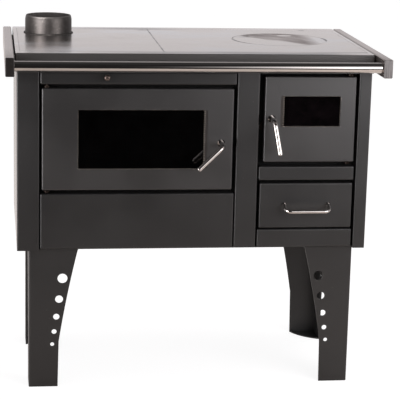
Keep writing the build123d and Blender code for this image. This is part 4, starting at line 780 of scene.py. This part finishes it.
def new_group(name, inputs):
    """An empty geometry tree with named inputs of the given kinds; gives it, the input node's
    sockets and the output node."""
    tree = bpy.data.node_groups.new(name, "GeometryNodeTree")
    tree.interface.new_socket("Geometry", in_out="OUTPUT", socket_type="NodeSocketGeometry")
    for label, kind in inputs.items():
        tree.interface.new_socket(label, in_out="INPUT", socket_type="NodeSocket" + kind)
    return tree, add(tree, "NodeGroupInput").outputs, add(tree, "NodeGroupOutput")


def finish_group(tree, geometry, material, result):
    """Gives a tree's geometry its material, and hands it to the output."""
    done = add(tree, "GeometryNodeSetMaterial", {"Geometry": geometry, "Material": material})
    tree.links.new(done.outputs[0], result.inputs[0])
    return tree


def ring_path(tree, given, step):
    """Rounded rectangle in the XY plane, as a closed curve with points a step apart."""
    ring = add(tree, "GeometryNodeCurvePrimitiveQuadrilateral", {
        "Width": given["Width"], "Height": given["Height"]})
    round_ring = add(tree, "GeometryNodeFilletCurve", {
        "Curve": ring, "Radius": given["Corner"], "Count": CORNER_POINTS}, mode="POLY")
    return add(tree, "GeometryNodeResampleCurve", {"Curve": round_ring, "Length": step}, mode="LENGTH")


def make_braid_tree():
    """Braid round a rounded rectangle: two families of strands wind round a flat section and
    cross over and under each other, on a plain core."""
    tree, given, result = new_group("braid_on_ring", {
        "Width": "Float", "Height": "Float", "Corner": "Float", "Half Breadth": "Float",
        "Half Depth": "Float", "Strand Radius": "Float", "Strands": "Int", "Turns": "Float",
        "Step": "Float", "Material": "Material"})
    path = ring_path(tree, given, given["Step"])
    both = add(tree, "ShaderNodeMath", {0: given["Strands"], 1: 2.0}, operation="MULTIPLY")
    copies = add(tree, "GeometryNodeDuplicateElements", {
        "Geometry": path, "Amount": both}, domain="SPLINE")
    number = copies.outputs["Duplicate Index"]
    # Every other strand winds the other way.
    family = add(tree, "ShaderNodeMath", {0: number, 1: 2.0}, operation="MODULO")
    family = add(tree, "ShaderNodeMath", {0: family, 1: 2.0}, operation="MULTIPLY")
    sense = add(tree, "ShaderNodeMath", {0: 1.0, 1: family}, operation="SUBTRACT")
    start = add(tree, "ShaderNodeMath", {0: number, 1: both}, operation="DIVIDE")
    start = add(tree, "ShaderNodeMath", {0: start, 1: math.tau}, operation="MULTIPLY")
    along = add(tree, "GeometryNodeSplineParameter")
    wound = add(tree, "ShaderNodeMath", {0: along, 1: given["Turns"]}, operation="MULTIPLY")
    wound = add(tree, "ShaderNodeMath", {0: wound, 1: math.tau}, operation="MULTIPLY")
    own_way = add(tree, "ShaderNodeMath", {0: wound, 1: sense}, operation="MULTIPLY")
    angle = add(tree, "ShaderNodeMath", {0: start, 1: own_way}, operation="ADD")
    # It rises over one crossing and dips under the next.
    crossings = add(tree, "ShaderNodeMath", {0: wound, 1: given["Strands"]}, operation="MULTIPLY")
    weave = add(tree, "ShaderNodeMath", {0: crossings}, operation="COSINE")
    weave = add(tree, "ShaderNodeMath", {0: weave, 1: sense}, operation="MULTIPLY")
    weave = add(tree, "ShaderNodeMath", {0: weave, 1: STRAND_LIFT}, operation="MULTIPLY")
    lift = add(tree, "ShaderNodeMath", {0: 1.0, 1: weave}, operation="ADD")
    reach = {}
    core_reach = {}
    for side, wave in (("Half Breadth", "COSINE"), ("Half Depth", "SINE")):
        share = add(tree, "ShaderNodeMath", {0: angle}, operation=wave)
        plain = add(tree, "ShaderNodeMath", {0: share, 1: given[side]}, operation="MULTIPLY")
        reach[side] = add(tree, "ShaderNodeMath", {0: plain, 1: lift}, operation="MULTIPLY")
        core_reach[side] = add(tree, "ShaderNodeMath", {
            0: given[side], 1: CORE_SHARE}, operation="MULTIPLY")
    tangent = add(tree, "GeometryNodeInputTangent")
    outward = add(tree, "ShaderNodeVectorMath", {
        0: tangent, 1: (0.0, 0.0, 1.0)}, operation="CROSS_PRODUCT")
    sideways = add(tree, "ShaderNodeVectorMath", {
        0: outward, "Scale": reach["Half Breadth"]}, operation="SCALE")
    upwards = add(tree, "ShaderNodeCombineXYZ", {"Z": reach["Half Depth"]})
    offset = add(tree, "ShaderNodeVectorMath", {0: sideways, 1: upwards}, operation="ADD")
    moved = add(tree, "GeometryNodeSetPosition", {"Geometry": copies, "Offset": offset})
    section = add(tree, "GeometryNodeCurvePrimitiveCircle", {
        "Resolution": STRAND_SIDES, "Radius": given["Strand Radius"]})
    strands = add(tree, "GeometryNodeCurveToMesh", {"Curve": moved, "Profile Curve": section})
    core_circle = add(tree, "GeometryNodeCurvePrimitiveCircle", {"Resolution": CORE_SIDES, "Radius": 1.0})
    core_size = add(tree, "ShaderNodeCombineXYZ", {
        "X": core_reach["Half Breadth"], "Y": core_reach["Half Depth"], "Z": 1.0})
    core_section = add(tree, "GeometryNodeTransform", {"Geometry": core_circle, "Scale": core_size})
    level_path = add(tree, "GeometryNodeSetCurveNormal", {"Curve": path}, mode="Z_UP")
    core = add(tree, "GeometryNodeCurveToMesh", {"Curve": level_path, "Profile Curve": core_section})
    joined = add(tree, "GeometryNodeJoinGeometry")
    for piece in (strands, core):
        tree.links.new(piece.outputs[0], joined.inputs[0])
    real = add(tree, "GeometryNodeRealizeInstances", {"Geometry": joined})
    return finish_group(tree, real, given["Material"], result)


def make_loop_tree():
    """Loops of yarn that stick into the window from the inner edge of a tape, of uneven length."""
    tree, given, result = new_group("loops_on_ring", {
        "Width": "Float", "Height": "Float", "Corner": "Float", "Pitch": "Float",
        "Yarn Radius": "Float", "Seed": "Int", "Material": "Material"})
    path = ring_path(tree, given, given["Pitch"])
    spots = add(tree, "GeometryNodeCurveToPoints", {"Curve": path}, mode="EVALUATED").outputs
    radius = add(tree, "ShaderNodeMath", {0: given["Pitch"], 1: LOOP_SHARE}, operation="MULTIPLY")
    arc = add(tree, "GeometryNodeCurveArc", {
        "Resolution": LOOP_POINTS, "Radius": radius, "Sweep Angle": math.pi}, mode="RADIUS")
    yarn = add(tree, "GeometryNodeCurvePrimitiveCircle", {
        "Resolution": STRAND_SIDES, "Radius": given["Yarn Radius"]})
    loop = add(tree, "GeometryNodeCurveToMesh", {"Curve": arc, "Profile Curve": yarn, "Fill Caps": True})
    length = add(tree, "FunctionNodeRandomValue", {
        2: LOOP_LENGTHS[0], 3: LOOP_LENGTHS[1], "Seed": given["Seed"]}, data_type="FLOAT")
    size = add(tree, "ShaderNodeCombineXYZ", {"X": 1.0, "Y": length, "Z": 1.0})
    placed = add(tree, "GeometryNodeInstanceOnPoints", {
        "Points": spots["Points"], "Instance": loop, "Rotation": spots["Rotation"], "Scale": size})
    real = add(tree, "GeometryNodeRealizeInstances", {"Geometry": placed})
    # The negative length turned each loop inside out.
    flipped = add(tree, "GeometryNodeFlipFaces", {"Mesh": real})
    return finish_group(tree, flipped, given["Material"], result)


def make_bead_tree():
    """Weld bead: flattened, overlapping drops in a circle, each a little different in size."""
    tree, given, result = new_group("weld_on_circle", {
        "Radius": "Float", "Drops": "Int", "Drop Radius": "Float", "Seed": "Int",
        "Material": "Material"})
    circle = add(tree, "GeometryNodeCurvePrimitiveCircle", {
        "Resolution": CIRCLE_POINTS, "Radius": given["Radius"]})
    spots = add(tree, "GeometryNodeCurveToPoints", {
        "Curve": circle, "Count": given["Drops"]}, mode="COUNT").outputs
    drop = add(tree, "GeometryNodeMeshIcoSphere", {"Radius": given["Drop Radius"], "Subdivisions": 2})
    smooth = add(tree, "GeometryNodeSetShadeSmooth", {"Geometry": drop})
    size = add(tree, "FunctionNodeRandomValue", {
        0: DROP_SIZES[0], 1: DROP_SIZES[1], "Seed": given["Seed"]}, data_type="FLOAT_VECTOR")
    placed = add(tree, "GeometryNodeInstanceOnPoints", {
        "Points": spots["Points"], "Instance": smooth, "Rotation": spots["Rotation"], "Scale": size})
    real = add(tree, "GeometryNodeRealizeInstances", {"Geometry": placed})
    return finish_group(tree, real, given["Material"], result)


# -------- pieces that the trees make

def run_tree(name, tree, values):
    """The plain mesh that a tree makes from the given inputs."""
    source = new_object(name + "_source", bpy.data.meshes.new(name + "_source"))
    modifier = source.modifiers.new("nodes", "NODES")
    modifier.node_group = tree
    for item in tree.interface.items_tree:
        if item.in_out == "INPUT":
            modifier[item.identifier] = values[item.name]
    view = bpy.context.evaluated_depsgraph_get()
    mesh = bpy.data.meshes.new_from_object(source.evaluated_get(view))
    mesh.name = name
    bpy.data.objects.remove(source)
    return mesh


def finish_piece(mesh, name, body, replaced=()):
    """Puts a finished mesh in the scene, on its body, and hides the nodes that it replaces."""
    piece = new_object(name, mesh)
    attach(piece, body)
    if replaced:
        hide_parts(*replaced)


def stand_up(mesh, centre):
    """Turns a mesh from the XY plane to face -Y, and moves it to its centre."""
    mesh.transform(Matrix.Translation(centre) @ Matrix.Rotation(math.pi / 2, 4, "X"))
    return mesh


def join_meshes(parts, name):
    """One mesh from several, with their materials."""
    objects = [new_object("part", mesh) for mesh in parts]
    with bpy.context.temp_override(active_object=objects[0], selected_editable_objects=objects):
        bpy.ops.object.join()
    mesh = objects[0].data
    mesh.name = name
    bpy.data.objects.remove(objects[0])
    return mesh


# The lay is the length of rope for one turn of a strand.
ROPE = {"breadth": 9.5 * MM, "corner": 14.0 * MM, "strand": 0.95 * MM, "strands": 6,
        "lay": 19.0 * MM, "step": 1.6 * MM}
TAPE = {"breadth": 10.5 * MM, "corner": 6.0 * MM, "strand": 0.5 * MM, "strands": 8,
        "lay": 18.0 * MM, "step": 1.3 * MM}
GLASS_LAP = 11.0 * MM  # glass behind the sheet, past the window on each side
TAPE_SHOWS = 7.0 * MM  # the tape's run on the lock side stands this far inside the window
LOOPS = {"Corner": 1.0 * MM, "Pitch": 4.4 * MM, "Yarn Radius": 0.6 * MM, "Seed": 3,
         "Material": loop_yarn}
WELD = {"Radius": COLLAR_RADIUS + 1.9 * MM, "Drops": 132, "Drop Radius": 1.8 * MM, "Seed": 5,
        "Material": finishes["flue_paint"]}
WELD_RISE = 0.4 * MM  # middle of the drops over the cooktop

braid_tree = make_braid_tree()
loop_tree = make_loop_tree()
bead_tree = make_bead_tree()


def braid(name, low, high, material, breadth, corner, strand, strands, lay, step):
    """Braid that fills a flat ring whose outer corners are low and high."""
    width = high.x - low.x - breadth
    height = high.z - low.z - breadth
    depth = high.y - low.y
    raised = 1 + STRAND_LIFT
    mesh = run_tree(name, braid_tree, {
        "Width": width, "Height": height, "Corner": corner - breadth / 2,
        "Half Breadth": (breadth / 2 - strand) / raised, "Half Depth": (depth / 2 - strand) / raised,
        "Strand Radius": strand, "Strands": strands, "Turns": float(round(2 * (width + height) / lay)),
        "Step": step, "Material": material})
    return stand_up(mesh, (low + high) / 2)


def make_door_ropes():
    """Braided rope in the channel of each door's liner."""
    for prefix in ("oven", "firebox"):
        node = prefix + "_door_rope"
        low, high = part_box(node)
        mesh = braid(prefix + "_rope_braid", low, high, finishes["seal_rope"], **ROPE)
        finish_piece(mesh, prefix + "_rope_braid", prefix + "_door", [node])


def make_window_tapes():
    """Woven tapes between skin and glass, with a looped edge that peeps into the window."""
    inset = GLASS_LAP + TAPE_SHOWS - TAPE["breadth"]
    for prefix, lock_side in (("oven", 1), ("firebox", -1)):
        node = prefix + "_glass_gasket"
        low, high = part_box(node)
        if lock_side > 0:
            high.x -= inset
        else:
            low.x += inset
        tape = braid(prefix + "_tape", low, high, finishes["seal_tape"], **TAPE)
        loops = run_tree(prefix + "_loops", loop_tree, {
            "Width": high.x - low.x - 2 * TAPE["breadth"],
            "Height": high.z - low.z - 2 * TAPE["breadth"], **LOOPS})
        mesh = join_meshes([tape, stand_up(loops, (low + high) / 2)], prefix + "_window_tape")
        finish_piece(mesh, prefix + "_window_tape", prefix + "_door", [node])


def make_collar_weld():
    """Weld bead round the foot of the flue collar."""
    mesh = run_tree("collar_weld_bead", bead_tree, WELD)
    mesh.transform(Matrix.Translation((*COLLAR_CENTRE, hob_top + WELD_RISE)))
    finish_piece(mesh, "collar_weld_bead", "root")


make_door_ropes()
make_window_tapes()
make_collar_weld()
